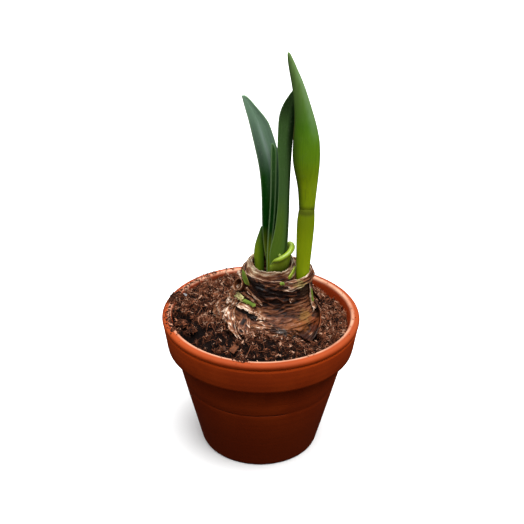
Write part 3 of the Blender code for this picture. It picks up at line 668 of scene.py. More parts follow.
def draw_sheet(name, columns, rows, place, **marks):
    """A grid whose points move to place(across, up), both from 0 to 1. marks are fixed values to store."""
    obj = start(name, "grid", x_subdivisions=columns, y_subdivisions=rows, size=2.0)
    spots = [((vertex.co.x + 1) / 2, (vertex.co.y + 1) / 2) for vertex in obj.data.vertices]
    across, up = zip(*spots)
    stored = {"across": across, "up": up, **{key: [value] * len(spots) for key, value in marks.items()}}
    for key, values in stored.items():
        obj.data.attributes.new(key, "FLOAT", "POINT").data.foreach_set("value", values)
    for vertex, spot in zip(obj.data.vertices, spots):
        vertex.co = place(*spot)
    return obj


def join(name, objects):
    bpy.ops.object.select_all(action="DESELECT")
    for obj in objects:
        obj.select_set(True)
    bpy.context.view_layer.objects.active = objects[0]
    bpy.ops.object.join()
    joined = bpy.context.object
    joined.name = name
    return joined


def scatter(name, variants, places):
    """One mesh of many copies. Each place is a variant's number, a matrix and a tone to store."""
    bm = bmesh.new()
    for number, matrix, tone in places:
        copy = variants[number].copy()
        copy.transform(matrix)
        copy.attributes.new("tone", "FLOAT", "POINT").data.foreach_set("value", [tone] * len(copy.vertices))
        bm.from_mesh(copy)
        bpy.data.meshes.remove(copy)
    mesh = bpy.data.meshes.new(name)
    bm.to_mesh(mesh)
    bm.free()
    obj = bpy.data.objects.new(name, mesh)
    bpy.context.scene.collection.objects.link(obj)
    return obj


def finish_piece(obj, material, slot, *nodes, smooth=True):
    """Gives a piece its material, puts it on the part and hides the CAD nodes that it stands for."""
    settle(obj)
    obj.data.materials.clear()
    obj.data.materials.append(material)
    if smooth:
        bpy.ops.object.shade_smooth()
    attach(obj, "root")
    if nodes:
        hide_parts(*nodes)


# Finishes

def scaled(colour, share):
    return tuple(c * share for c in colour)


def clay_finish(settings):
    f = Finish("terracotta", specular_ior_level=0.12)
    place = f.place()
    turned = f.noise(f.stretched(3.0, 3.0, 260.0), 1.0, 3.0)
    grain = f.noise(place, 900.0, 6.0, 0.65)
    blotch = f.noise(place, 26.0, 4.0)
    f.colour = f.mix(blotch.step(0.35, 0.7), settings.deep, settings.colour)
    f.paint(grain.step(0.62, 0.78) * 0.25, settings.dust)
    height = f.axis("Z")
    # The clay is darker towards the foot.
    darker_low = height.step(0.085, 0.020) * (0.55 + blotch * 0.4)
    f.paint(darker_low, scaled(settings.deep, 0.55))
    worn = f.noise(place, 60.0, 5.0).step(0.30, 0.62)
    from_axis = f.vector("LENGTH", f.stretched(1.0, 1.0, 0.0), output="Value")
    lip = height.step(POT_HEIGHT - 0.0030, POT_HEIGHT - 0.0004)
    # Under the lip's bead the clay is painted lighter: painted light on its shaded underside.
    under = abs(height - POT_HEIGHT + 0.0052).step(0.0026, 0.0010) * from_axis.step(0.0710, 0.0730)
    f.paint(under * 0.7, scaled(settings.colour, 1.7))
    # The lip's top is painted paler and its inner crest palest: rubbed wear, and a painted highlight along the lip.
    crest = lip * abs(from_axis - LIP_INNER_RADIUS - 0.0014).step(0.0024, 0.0002) * (0.50 + worn * 0.60)
    f.paint(lip * settings.rubbed * 0.5, (0.33, 0.082, 0.022))
    f.paint(crest * settings.rubbed, settings.bloom)
    dirt = f.near((-POT_RADIUS, 0.010, POT_HEIGHT), 0.055) * f.noise(place, 520.0, 4.0).step(0.50, 0.60) * 0.7
    inside = height.step(POT_HEIGHT, POT_HEIGHT - 0.003)
    dirt = dirt + f.near((-0.046, 0.046, POT_HEIGHT - 0.003), 0.040) * inside * 1.1
    f.paint(dirt * 0.75, scaled(settings.deep, 0.45))
    groove_wander = f.noise(f.stretched(14.0, 14.0, 0.0), 1.0, 2.0)
    groove = abs(height - GROOVE_HEIGHT - (groove_wander - 0.5) * 0.004).step(0.0009, 0.0002)
    groove = groove * f.noise(place, 30.0, 3.0).step(0.48, 0.60)
    specks = f.noise(place, 420.0, 4.0, 0.6).step(0.66, 0.74) * f.noise(place, 45.0, 3.0).step(0.45, 0.65)
    f.paint(specks * height.step(0.095, 0.060) * 0.5, scaled(settings.deep, 0.3))
    # Painted shade in the groove, in patches.
    f.paint(groove * 0.7, scaled(settings.deep, 0.35))
    relief = turned * 0.5 + grain * 0.35 - groove * 1.6
    return f.wear(base_color=f.colour, roughness=0.52 + grain * 0.3, normal=f.bump(relief, 0.0006, 0.6))


def soil_finish(settings):
    """The soil under the crumbs: painted shade in its gaps, by its stored tone of painted light and shade."""
    f = Finish("coir_soil", roughness=0.95, specular_ior_level=0.1)
    place = f.place()
    clump = f.noise(place, 190.0, 5.0, 0.65)
    crumb = f.noise(place, 900.0, 6.0, 0.7)
    mixed = f.attribute("tone") * 0.7 + clump * 0.5 + crumb * 0.3 - 0.32
    f.colour = mixed.ramp((0.15, settings.dark), (0.5, settings.colour), (0.85, settings.pale))
    return f.wear(base_color=f.colour, normal=f.bump(clump + crumb * 0.5, 0.0022, 1.0))


def crumb_finish(settings):
    f = Finish("coir_crumbs", roughness=0.9, specular_ior_level=0.15)
    place = f.place()
    grain = f.noise(place, 1400.0, 5.0, 0.7)
    mixed = f.attribute("tone") * 0.85 + grain * 0.4 - 0.14
    f.colour = mixed.ramp(
        (0.08, settings.dark), (0.42, settings.colour), (0.74, settings.pale), (1.0, settings.fibre)
    )
    return f.wear(base_color=f.colour, normal=f.bump(grain, 0.0008, 0.8))


def paper_finish(name, settings, tan, pale):
    """Dry papery skin. Its fibres follow the stored fibre coordinates, its creases carry painted shade and its crests
    painted light with painted glints, and each sheet has its own tone."""
    f = Finish(name, specular_ior_level=0.2, coat_roughness=0.22)
    fibre = f.attribute("fibre", "Vector")
    place = f.place()
    tone = f.attribute("tone")
    fresh = f.attribute("fresh")
    fold = f.attribute("fold")
    edge = abs(f.attribute("across") * 2 - 1).step(0.90, 1.0) + f.attribute("up").step(0.92, 1.0)
    streak = f.noise(fibre, 900.0, 6.0, 0.65, 0.6)
    thread = f.noise(fibre, 2600.0, 5.0, 0.6)
    patch = f.noise(place, 110.0, 5.0, 0.6)
    mixed = tone * 0.62 + (streak - 0.5) * 0.85 + (patch - 0.5) * 0.7 + (fold - 0.5) * 0.75 + 0.14
    f.colour = mixed.ramp(
        (0.10, (0.006, 0.002, 0.001)),
        (0.30, settings.dark),
        (0.52, settings.colour),
        (0.74, tan),
        (0.98, pale),
    )
    wander = f.vector("SUBTRACT", f.noise(place, 260.0, roughness=0.5, output="Color"), (0.5, 0.5, 0.5))
    strayed = f.vector("ADD", place, f.vector("MULTIPLY", wander, (0.010, 0.010, 0.010)))
    creased = 0.45 + fold * 0.45 + streak * 0.4
    for *point, radius, patch_colour in PATCHES:
        f.paint(f.near(point, radius, strayed) * creased * f.attribute("stained"), patch_colour)
    f.paint(thread.step(0.60, 0.76) * tone * 0.4, tan)
    f.paint(edge * patch.step(0.35, 0.6) * tone.step(0.45, 0.75) * 0.6, pale)
    glint = fold.step(0.80, 1.0) * patch.step(0.44, 0.58) * tone.step(0.30, 0.50)
    f.paint(glint * 0.75, (0.80, 0.66, 0.54))
    creamy = f.mix(patch.step(0.46, 0.60) * 0.8, settings.cream, tan)
    f.paint(fresh.step(0.2, 0.3), creamy)
    leafy = f.mix(streak.step(0.35, 0.65) * 0.5, settings.green, scaled(settings.green, 0.5))
    leafy = f.mix(edge * 0.6, leafy, tan)
    f.paint(fresh.step(0.6, 0.8), leafy)
    relief = (streak * 0.8 + thread * 0.3) * fresh.step(1.4, 0.2)
    gloss = fold.step(0.55, 0.9) * streak.step(0.45, 0.62) * 0.8
    relief = f.bump(relief, 0.0012, 0.9)
    return f.wear(base_color=f.colour, roughness=0.62 - streak * 0.2, coat_weight=gloss, normal=relief)


def leaf_finish(name, left, right, split, shade, margin, sheen=None):
    """A strap leaf: colour stops up its left and right halves, which hold painted light and shade on a leaf turned
    one side from the light, fine veins, a thin margin (how wide, how pale at the left and right, how much painted
    shade at the right), and a painted sheen if it has one: its colour, where it starts and ends up the leaf, its
    middle there and how that moves."""
    f = Finish(name, specular_ior_level=0.07)
    across = f.attribute("across")
    up = f.attribute("up")
    place = f.place()
    vein = f.noise(f.joined(across * 60.0, up * 3.0, 0.0), 1.0, 3.0, 0.6)
    rub = f.noise(f.joined(across * 5.0, up * 9.0, 0.5), 1.0, 4.0, 0.5)
    speck = f.noise(place, 700.0, 3.0)
    f.colour = f.mix(across.step(*split), up.ramp(*left), up.ramp(*right))
    if sheen:
        sheen_colour, start, end, middle, slope = sheen
        off = abs(across - middle - (end - up) * slope)
        stripe = off.step(0.17, 0.0) * up.step(start, start + 0.18) * up.step(end + 0.05, end - 0.05)
        f.paint(stripe * (0.35 + rub * 0.7), sheen_colour)
    f.paint(vein.step(0.35, 0.75) * 0.22, shade)
    f.paint(speck.step(0.55, 0.75) * up * 0.16, (0.30, 0.36, 0.24))
    wide, pale_left, pale_right, painted_shade_right = margin
    # Painted shade along the right edge.
    f.paint(across.step(0.80, 0.94) * painted_shade_right, scaled(shade, 0.4))
    f.paint(across.step(1.0 - wide, 1.0) * pale_right, (0.24, 0.38, 0.18))
    f.paint(across.step(wide, 0.0) * pale_left, (0.24, 0.38, 0.18))
    rib = abs(across - 0.5).step(0.05, 0.0)
    relief = vein * 0.8 - rib * 0.5
    return f.wear(base_color=f.colour, roughness=0.36 + rub * 0.2, normal=f.bump(relief, 0.0004, 0.6))


def stalk_finish(settings):
    """A smooth waxy stalk with fine ribs, darker towards its top and with a painted shadow under the bud."""
    f = Finish("stalk", specular_ior_level=0.25)
    place = f.place()
    height = f.axis("Z")
    ribs = f.noise(f.stretched(900.0, 900.0, 12.0), 1.0, 3.0)
    patch = f.noise(place, 120.0, 4.0)
    top = STALK[-1][0]
    f.colour = f.mix(height.step(top - 0.030, top), settings.stalk, scaled(settings.stalk, 0.60))
    f.paint(ribs.step(0.4, 0.75) * 0.22, settings.belly)
    f.paint(patch.step(0.5, 0.8) * 0.2, settings.belly)
    # Painted shadow under the bud's foot.
    joint_shadow = height.step(top - 0.0038, top - 0.0004)
    f.paint(joint_shadow * 0.62, settings.joint_shadow)
    return f.wear(base_color=f.colour, roughness=0.40 + patch * 0.2 + joint_shadow * 0.4, normal=f.bump(ribs, 0.0003, 0.5))


def bud_finish(settings):
    """The closed spathe: yellow-green at its foot, greener up it, greyer to the tip, with a flushed seam, a painted
    sheen at the upper right, painted shade at the left and a painted shadow under its foot.
    """
    f = Finish("bud", specular_ior_level=0.25)
    place = f.place()
    low, high = BUD[0][0], BUD[-1][0]
    share = (f.axis("Z") - low) / (high - low)
    side = f.attribute("side")
    ribs = f.noise(f.stretched(1100.0, 1100.0, 12.0), 1.0, 3.0)
    patch = f.noise(place, 120.0, 4.0)
    speck = f.noise(place, 1500.0, 2.0)
    f.colour = share.ramp(
        (0.0, scaled(settings.foot, 0.95)),
        (0.17, scaled(settings.foot, 1.15)),
        (0.36, settings.belly),
        (0.56, settings.green),
        (0.78, settings.upper),
        (1.0, settings.tip),
    )
    # Painted sheen on the upper right of the bud.
    bloom = side.step(0.1, 0.7) * share.step(0.42, 0.62) * share.step(0.96, 0.84)
    f.paint(bloom * 0.44, settings.bloom)
    # The bud's left side is painted darker, painted shade: broadly low down, and in a thin line along its very edge.
    f.paint(side.step(-0.35, -0.95) * share.step(0.60, 0.42) * 0.75, scaled(settings.green, 0.35))
    f.paint(side.step(-0.86, -0.97) * 0.6, scaled(settings.green, 0.3))
    f.paint(ribs.step(0.4, 0.75) * 0.30, scaled(settings.green, 0.6))
    f.paint(patch.step(0.5, 0.8) * 0.15, settings.upper)
    f.paint(speck.step(0.62, 0.75) * 0.2, (0.30, 0.40, 0.16))
    seam = abs(side).step(0.93, 0.99) * share.step(0.75, 0.45)
    f.paint(seam * 0.7, settings.flush)
    # Painted shadow under the bud's foot.
    painted_foot_shadow = abs(share - 0.006).step(0.048, 0.004) * (0.52 + patch * 0.5)
    f.paint(painted_foot_shadow, settings.joint_shadow)
    return f.wear(base_color=f.colour, roughness=0.42 + patch * 0.2, normal=f.bump(ribs, 0.0003, 0.5))


# Settings

def tint(name, where, default):
    limits = {"min": 0.0, "max": 1.0}
    return FloatVectorProperty(name=name, description="Colour " + where, default=default, subtype="COLOR", **limits)


class PotSettings(PropertyGroup):
    colour: tint("Clay", "of the fired clay", (0.34, 0.040, 0.003))
    deep: tint("Deep clay", "of the redder blotches", (0.25, 0.026, 0.002))
    dust: tint("Dust", "of the pale grains", (0.46, 0.17, 0.07))
    # Colour of the lip's painted highlight, over rubbed wear.
    bloom: tint("Bloom", "of the rubbed lip", (0.76, 0.46, 0.31))
    rubbed: FloatProperty(name="Rubbed", description="How far the lip is rubbed pale", default=0.62, min=0.0, max=1.0)
    steps: IntProperty(name="Sides", description="Steps round the turned pot", default=144, min=48, max=256)


class SoilSettings(PropertyGroup):
    colour: tint("Soil", "of the moist coir", (0.088, 0.025, 0.010))
    # The hollows' colour is painted shade in the soil's gaps.
    dark: tint("Hollows", "of the wet hollows", (0.004, 0.0015, 0.001))
    pale: tint("Crumbs", "of the dry crumbs", (0.27, 0.096, 0.046))
    fibre: tint("Fibres", "of the pale fibres", (0.50, 0.32, 0.22))
    crumbs: IntProperty(name="Crumbs", description="How many crumbs lie on the soil", default=9400, min=0)
    fibres: IntProperty(name="Fibres", description="How many coir fibres lie on the soil", default=1000, min=0)
    seed: IntProperty(name="Seed", description="Draw of the crumbs and fibres", default=11)


class BulbSettings(PropertyGroup):
    colour: tint("Skin", "of the dry skin", (0.125, 0.037, 0.013))
    # Also the colour of the painted shade in the skin's creases.
    dark: tint("Dark skin", "of the skin's folds", (0.028, 0.008, 0.003))
    tan: tint("Tan skin", "of the worn skin", (0.25, 0.097, 0.038))
    # Also the colour of the painted light on the skin's crests.
    pale: tint("Pale skin", "of the bleached edges", (0.68, 0.50, 0.37))
    collar_tan: tint("Collar", "of the inner collar", (0.29, 0.15, 0.075))
    collar_pale: tint("Collar edge", "of the inner collar's edges", (0.64, 0.52, 0.36))
    cream: tint("Cream scale", "of the pale scale under a tear", (0.58, 0.54, 0.22))
    green: tint("Fresh scale", "of the fresh scale under a tear", (0.165, 0.26, 0.030))
    fold: FloatProperty(name="Folds", description="Height of the skin's folds", default=0.0010, unit="LENGTH")
    skin: FloatProperty(name="Skin", description="Thickness of a loose sheet", default=0.00028, unit="LENGTH")
    seed: IntProperty(name="Seed", description="Draw of the small flakes", default=5)


class LeafSettings(PropertyGroup):
    deep: tint("Foot", "low on the leaf at the left", (0.002, 0.040, 0.001))
    bluish: tint("Bluish leaf", "high on the leaf at the left", (0.188, 0.312, 0.205))
    # Colour of the painted sheen down the leaf at the left.
    bloom: tint("Bloom", "of the waxy bloom", (0.27, 0.37, 0.31))
    dark: tint("Dark leaf", "of the leaf in the middle", (0.073, 0.156, 0.040))
    olive: tint("Olive", "low on the leaf in the middle", (0.120, 0.220, 0.022))
    young: tint("Young leaf", "of the narrow leaf", (0.045, 0.140, 0.026))
    shade: tint("Shade", "of the veins and of the shaded edges", (0.002, 0.026, 0.002))
    fresh: tint("Sheath", "of the fleshy sheaths", (0.26, 0.38, 0.014))


class BudSettings(PropertyGroup):
    stalk: tint("Stalk", "of the stalk", (0.33, 0.45, 0.003))
    # Colour of the painted shadow under the bud.
    joint_shadow: tint("Joint", "under the bud", (0.060, 0.070, 0.002))
    foot: tint("Bud's foot", "of the bud's foot", (0.29, 0.41, 0.003))
    belly: tint("Belly", "of the bud's belly", (0.150, 0.300, 0.004))
    green: tint("Green", "above the bud's belly", (0.078, 0.205, 0.006))
    upper: tint("Upper bud", "below the bud's tip", (0.134, 0.245, 0.055))
    tip: tint("Tip", "of the bud's tip", (0.140, 0.235, 0.072))
    # Colour of the painted sheen on the bud.
    bloom: tint("Bloom", "of the waxy bloom", (0.20, 0.31, 0.16))
    flush: tint("Flush", "of the flushed seam", (0.14, 0.07, 0.015))


class StageSettings(PropertyGroup):
    distance: FloatProperty(name="Distance", description="Camera to the object", default=0.74175, unit="LENGTH")
    pitch: FloatProperty(name="Pitch", description="Camera's tilt below level", default=0.4885, subtype="ANGLE")
    roll: FloatProperty(name="Roll", description="Camera's roll", default=0.0143, subtype="ANGLE")
    lens: FloatProperty(name="Lens", description="Focal length on a 36 mm sensor", default=68.79, unit="CAMERA")
    floor: tint("Floor", "of the pale floor", (0.90, 0.90, 0.90))
    key_from: FloatVectorProperty(name="Key from", description="Way to the key light", default=(0.13, -0.12, 1.0))
    key_power: FloatProperty(name="Key power", description="Strength of the key light", default=5.6, min=0.0)
    key_spread: FloatProperty(name="Key spread", description="Width of the key light", default=1.05, subtype="ANGLE")
    above: FloatProperty(name="Above", description="Brightness overhead", default=0.75, min=0.0)
    side: FloatProperty(name="Side", description="Brightness at the sides", default=0.32, min=0.0)
    below: FloatProperty(name="Below", description="Brightness below the floor", default=0.02, min=0.0)


# Pieces

class AMARYLLIS_OT_pot(Operator):
    """Turn the clay pot"""

    bl_idname = "amaryllis.pot"
    bl_label = "Pot"

    def profile(self):
        """Radius and height of each corner, from the drain hole out, up and over the lip, and down inside."""
        foot = POT_HEIGHT - COLLAR_HEIGHT
        bead = LIP_BEAD / 2
        slope = (BODY_TOP_RADIUS - BASE_RADIUS) / foot
        points = [(DRAIN_RADIUS, 0.0004), (DRAIN_RADIUS + 0.0006, 0.0), (BASE_RADIUS - 0.0014, 0.0)]
        points += [(BASE_RADIUS - 0.0003, 0.0006), (BASE_RADIUS + 0.0004, 0.0022)]
        for height, cut in ((0.052, 0), (0.0550, 0), (0.0558, 0.00018), (0.0564, 0.00018), (0.0572, 0), (0.064, 0)):
            points.append((BASE_RADIUS + slope * height - cut, height))
        points += [(BODY_TOP_RADIUS - 0.0004, foot - 0.0012), (BODY_TOP_RADIUS + 0.0006, foot)]
        points += [(COLLAR_FOOT_RADIUS - 0.0016, foot + 0.0002), (COLLAR_FOOT_RADIUS - 0.0003, foot + 0.0010)]
        points += [(COLLAR_FOOT_RADIUS + 0.0001, foot + 0.0030), (COLLAR_NECK_RADIUS, POT_HEIGHT - LIP_BEAD - 0.0016)]
        points += [(COLLAR_NECK_RADIUS - 0.0003, POT_HEIGHT - LIP_BEAD - 0.0004)]
        for i in range(11):
            crest = on_oval((POT_RADIUS - bead, POT_HEIGHT - bead, bead, bead), math.radians(-58 + 14.8 * i), 0.0)
            points.append((crest.x, crest.y))
        points += [(LIP_INNER_RADIUS + 0.0022, POT_HEIGHT), (LIP_INNER_RADIUS + 0.0008, POT_HEIGHT - 0.0005)]
        points += [(LIP_INNER_RADIUS, POT_HEIGHT - 0.0018), (LIP_INNER_RADIUS - 0.0006, POT_HEIGHT - LIP_BEAD)]
        points += [(WALL_BELOW_COLLAR, WALL_TOP), (FLOOR_RADIUS, FLOOR_EDGE)]
        points += [(FLOOR_RADIUS - 0.003, FLOOR_THICKNESS), (DRAIN_RADIUS, FLOOR_THICKNESS)]
        return points

    def execute(self, context):
        settings = context.scene.amaryllis_pot
        pot = start("clay_pot", "plane", size=1.0)
        edit(pot)
        bpy.ops.mesh.merge(type="CENTER")
        points = self.profile()
        radius, height = points[0]
        bpy.ops.transform.translate(value=(radius, 0.0, height))
        for (r0, z0), (r1, z1) in zip(points, points[1:]):
            bpy.ops.mesh.extrude_region_move(TRANSFORM_OT_translate={"value": (r1 - r0, 0.0, z1 - z0)})
        bpy.ops.mesh.select_all(action="SELECT")
        bpy.ops.mesh.edge_face_add()
        bpy.ops.mesh.delete(type="ONLY_FACE")
        bpy.ops.mesh.select_all(action="SELECT")
        bpy.ops.mesh.spin(steps=settings.steps, angle=math.tau, center=(0, 0, 0), axis=(0, 0, 1))
        leave_edit(merge=True, outwards=True)
        finish_piece(pot, clay_finish(settings), "terracotta", "pot")
        bpy.ops.object.shade_smooth_by_angle(angle=math.radians(50))
        return {"FINISHED"}


def pot_inner_radius(height):
    if height > WALL_TOP:
        share = (height - WALL_TOP) / (POT_HEIGHT - WALL_TOP)
        return WALL_BELOW_COLLAR + (LIP_INNER_RADIUS - WALL_BELOW_COLLAR) * share
    share = max(height - FLOOR_EDGE, 0.0) / (WALL_TOP - FLOOR_EDGE)
    return FLOOR_RADIUS + (WALL_BELOW_COLLAR - FLOOR_RADIUS) * share


def clods(x, y, size, seed):
    """From 0 in the gaps between clods to 1 at their middles."""
    distances, _ = noise.voronoi(Vector((x / size + seed, y / size, 0.37 * seed)))
    return smoothstep((distances[1] - distances[0]) * 1.5)


def soil_surface(x, y):
    """The soil's height and its painted light and shade: one level at the pot's wall, another against the bulb, with
    clods painted light on top and dark in their gaps, mounds painted light and hollows painted dark."""
    angle = math.atan2(y, x)
    wall, bulb = around(SOIL_AT_WALL, angle), around(SOIL_AT_BULB, angle)
    from_bulb = math.hypot(x - BULB_AXIS.x, y - BULB_AXIS.y) - BULB_LEVELS[4][3]
    to_wall = LIP_INNER_RADIUS - math.hypot(x, y)
    height = bulb + (wall - bulb) * smoothstep(from_bulb / max(from_bulb + to_wall, 0.001))
    large, small = clods(x, y, 0.0085, 1), clods(x, y, 0.0036, 2)
    height += 0.0016 * rough((x * 120, y * 120, 0)) + 0.0034 * (large - 0.55)
    height += 0.0021 * (small - 0.5) + 0.0007 * rough((x * 900, y * 900, 2))
    light = around(SOIL_LIGHT, angle) + 0.50 * (large - 0.5) + 0.40 * (small - 0.5)
    light += 0.10 * rough((x * 60, y * 60, 5))
    for spot_x, spot_y, reach, rise, lighter in SOIL_RELIEF:
        share = smoothstep(1.3 - math.hypot(x - spot_x, y - spot_y) / reach)
        height += rise * share
        light += lighter * share
    return height, clamp(light)


def soil_height(x, y):
    return soil_surface(x, y)[0]


class AMARYLLIS_OT_soil(Operator):
    """Fill the pot with crumbly coir, and strew crumbs, bark and fibres on it"""

    bl_idname = "amaryllis.soil"
    bl_label = "Soil"

    def bed(self):
        """A solid disc of soil: rings out over its top, down the pot's wall and in under it."""
        floor = FLOOR_THICKNESS + 0.0003

        def place(across, up):
            angle = math.tau * across
            if up <= BED_TOP:
                share = (up / BED_TOP) ** 0.8
                edge = pot_inner_radius(around(SOIL_AT_WALL, angle)) - 0.0002
                x, y = edge * share * math.cos(angle), edge * share * math.sin(angle)
                return Vector((x, y, soil_height(x, y)))
            depth = (up - BED_TOP) / (1.0 - BED_TOP)
            top = around(SOIL_AT_WALL, angle) - 0.003
            height = top + (floor - top) * min(depth * 1.25, 1.0)
            radius = pot_inner_radius(height) - 0.0006
            if depth > 0.85:
                radius = (FLOOR_RADIUS - 0.004) * (1.0 - depth) / 0.15
            return on_oval((0.0, 0.0, radius, radius), angle, height)

        bed = draw_sheet("soil_bed", BED_SIDES, BED_RINGS, place)
        edit(bed)
        leave_edit(merge=True, outwards=True)
        mark(bed, "tone", lambda co: soil_surface(co.x, co.y)[1])
        return bed

    def lumps(self, count, subdivisions, seed, uneven):
        """A few crumb shapes: icospheres with their points pushed about and flattened."""
        meshes = []
        for i in range(count):
            lump = start("lump", "ico_sphere", subdivisions=subdivisions, radius=0.5)
            edit(lump)
            bpy.ops.transform.vertex_random(offset=uneven, uniform=1.0, normal=0.3, seed=seed + i)
            bpy.ops.transform.resize(value=(1.0, 0.75, 0.6))
            leave_edit()
            meshes.append(lump.data)
            bpy.data.objects.remove(lump)
        return meshes

    def spots(self, draw, count, spread):
        """Random places on the soil, outside the bulb."""
        found = []
        while len(found) < count:
            radius = (LIP_INNER_RADIUS - 0.0005) * math.sqrt(draw.random())
            angle = draw.uniform(-math.pi, math.pi)
            x, y = radius * math.cos(angle), radius * math.sin(angle)
            bulb_x, bulb_y, width, depth = along(BULB_LEVELS, SOIL_LEVEL)
            inside = math.hypot((x - bulb_x) / (width - spread), (y - bulb_y) / (depth - spread))
            if inside > 1.0 and radius < pot_inner_radius(soil_height(x, y)) - 0.0010:
                found.append((x, y))
        return found

    def turned(self, draw, size, place, flat=False):
        turn = Matrix.Rotation(draw.uniform(0, math.tau), 4, "Z")
        for axis in "" if flat else "XY":
            turn = turn @ Matrix.Rotation(draw.uniform(-1.2, 1.2), 4, axis)
        return Matrix.Translation(place) @ turn @ Matrix.Diagonal((*size, 1.0))

    def execute(self, context):
        settings = context.scene.amaryllis_soil
        draw = random.Random(settings.seed)
        finish_piece(self.bed(), soil_finish(settings), "soil", "soil")

        small = self.lumps(8, subdivisions=1, seed=20, uneven=0.28)
        large = self.lumps(4, subdivisions=2, seed=40, uneven=0.10)
        crumbs = crumb_finish(settings)
        places = []
        for x, y in self.spots(draw, settings.crumbs, 0.0005):
            size = 0.0007 + 0.0019 * draw.random() ** 2.4
            length = min(size * draw.uniform(1.0, 3.2), 0.0044)
            shape = (length, size * draw.uniform(0.5, 1.0), size * draw.uniform(0.4, 0.9))
            height, light = soil_surface(x, y)
            place = (x, y, height + draw.uniform(-0.1, 0.5) * size)
            if draw.random() < 0.48:
                shape = (draw.uniform(0.0020, 0.0046), draw.uniform(0.0003, 0.0006), draw.uniform(0.0003, 0.0005))
            # Crumbs take the soil's painted light and shade: those in its shaded hollows are painted dark, and a few
            # small ones are pale, painted glints.
            tone = clamp(draw.gauss(light - 0.02, 0.44))
            if size < 0.0011 and draw.random() < 0.04:
                tone = 0.95
            if light < HOLLOW_LIGHT and size > 0.0018 or light < BARE_LIGHT:
                continue
            if light < HOLLOW_LIGHT:
                tone = draw.uniform(0.02, 0.32)
            elif tone > light + 0.25 and shape[0] < 0.0026:
                tone = min(tone + 0.08, 1.0)
            places.append((draw.randrange(8), self.turned(draw, shape, place), tone))
        places += self.heaped(draw)
        finish_piece(scatter("soil_crumbs", small, places), crumbs, "soil", smooth=False)

        places = []
        for x, y in self.spots(draw, CLUMPS, 0.0):
            size = draw.uniform(0.0020, 0.0036)
            shape = (size * draw.uniform(1.0, 1.8), size, size * draw.uniform(0.45, 0.75))
            height, light = soil_surface(x, y)
            if light < STREWN_LIGHT:
                continue
            place = (x, y, height - 0.0004)
            places.append((draw.randrange(8), self.turned(draw, shape, place), light * draw.uniform(0.6, 1.2)))
        clumps = scatter("soil_clumps", small, places)
        places, grains = [], []
        for x, y, z, size, tone in SOIL_CLODS:
            shape = (size, size * 0.8, size * 0.7)
            places.append((draw.randrange(4), self.turned(draw, shape, (x, y, z), flat=True), tone * 0.7))
            grains += self.piled(draw, x, y, z, size, tone)
        parts = [clumps, scatter("soil_clods", large, places), scatter("soil_grains", small, grains)]
        finish_piece(join("soil_clumps", parts), crumbs, "soil", smooth=False)
        finish_piece(scatter("rim_crumbs", small, self.rim_places(draw)), crumbs, "soil", smooth=False)
        self.strew_fibres(settings, draw, crumbs)
        self.chips()
        return {"FINISHED"}

    def piled(self, draw, x, y, z, size, tone):
        """Grains stuck all over the top of a clod."""
        places = []
        for _ in range(int(GRAINS_PER_METRE * size)):
            turn, rise = draw.uniform(0, math.tau), draw.uniform(0.0, 0.9)
            reach = size * math.sqrt(1.0 - rise**2)
            place = on_oval((x, y, 0.46 * reach, 0.40 * reach), turn, z + 0.32 * size * rise)
            grain = draw.uniform(0.0008, 0.0021)
            shape = (grain * draw.uniform(1.0, 2.2), grain, grain * draw.uniform(0.4, 0.8))
            places.append((draw.randrange(8), self.turned(draw, shape, place), clamp(draw.gauss(tone, 0.24))))
        return places

    def heaped(self, draw):
        """Crumbs heaped against the bulb's foot."""
        places = []
        for _ in range(HEAPED_CRUMBS):
            angle = draw.uniform(0, math.tau)
            size = 0.0007 + 0.0020 * draw.random() ** 2
            place = bulb_point(SOIL_LEVEL, angle, draw.uniform(-0.0010, 0.0045))
            height, light = soil_surface(place.x, place.y)
            place.z = height + draw.uniform(0.0, 0.0011)
            shape = (size * draw.uniform(1.0, 2.4), size * draw.uniform(0.5, 1.0), size * draw.uniform(0.4, 0.9))
            places.append((draw.randrange(8), self.turned(draw, shape, place), clamp(draw.gauss(light, 0.2))))
        return places

    def rim_places(self, draw):
        """Crumbs on the pot's lip: many at the left, a clump in front and a few anywhere."""
        places = []
        for angles, count, largest in RIM_CRUMBS:
            for _ in range(count):
                angle = math.radians(draw.gauss(*angles))
                radius = draw.triangular(LIP_INNER_RADIUS, POT_RADIUS - 0.0010, LIP_INNER_RADIUS + 0.0016)
                away = max(radius - (POT_RADIUS - LIP_BEAD / 2), 0.0)
                height = POT_HEIGHT - LIP_BEAD / 2 + math.sqrt(max((LIP_BEAD / 2) ** 2 - away**2, 0.0))
                size = 0.0004 + (largest - 0.0004) * draw.random() ** 2
                shape = (size * draw.uniform(1.0, 2.2), size, size * draw.uniform(0.5, 0.9))
                place = on_oval((0.0, 0.0, radius, radius), angle, height + size * 0.15)
                places.append((draw.randrange(6), self.turned(draw, shape, place), draw.uniform(0.02, 0.46)))
        return places

    def chips(self):
        """A chip of bark and a pale chip: blocks, bevelled and roughened."""
        for name, place, size, turn, colour in CHIPS:
            chip = start(name, "cube", size=1.0, location=place, rotation=turn, scale=size)
            settle(chip)
            edit(chip)
            bpy.ops.mesh.bevel(offset=min(size) * 0.10, segments=2, affect="EDGES")
            bpy.ops.mesh.select_all(action="SELECT")
            bpy.ops.mesh.subdivide(number_cuts=3)
            bpy.ops.transform.vertex_random(offset=min(size) * 0.18, uniform=1.0, normal=0.4, seed=7)
            leave_edit()
            f = Finish(name, roughness=0.85, specular_ior_level=0.3)
            grain = f.noise(f.stretched(300.0, 2400.0, 2400.0), 1.0, 4.0)
            stain = f.noise(f.place(), 500.0, 4.0)
            f.colour = f.mix(grain.step(0.3, 0.7) * stain.step(0.35, 0.65), scaled(colour, 0.3), colour)
            finish_piece(chip, f.wear(base_color=f.colour, normal=f.bump(grain, 0.0003, 0.7)), "soil", smooth=False)

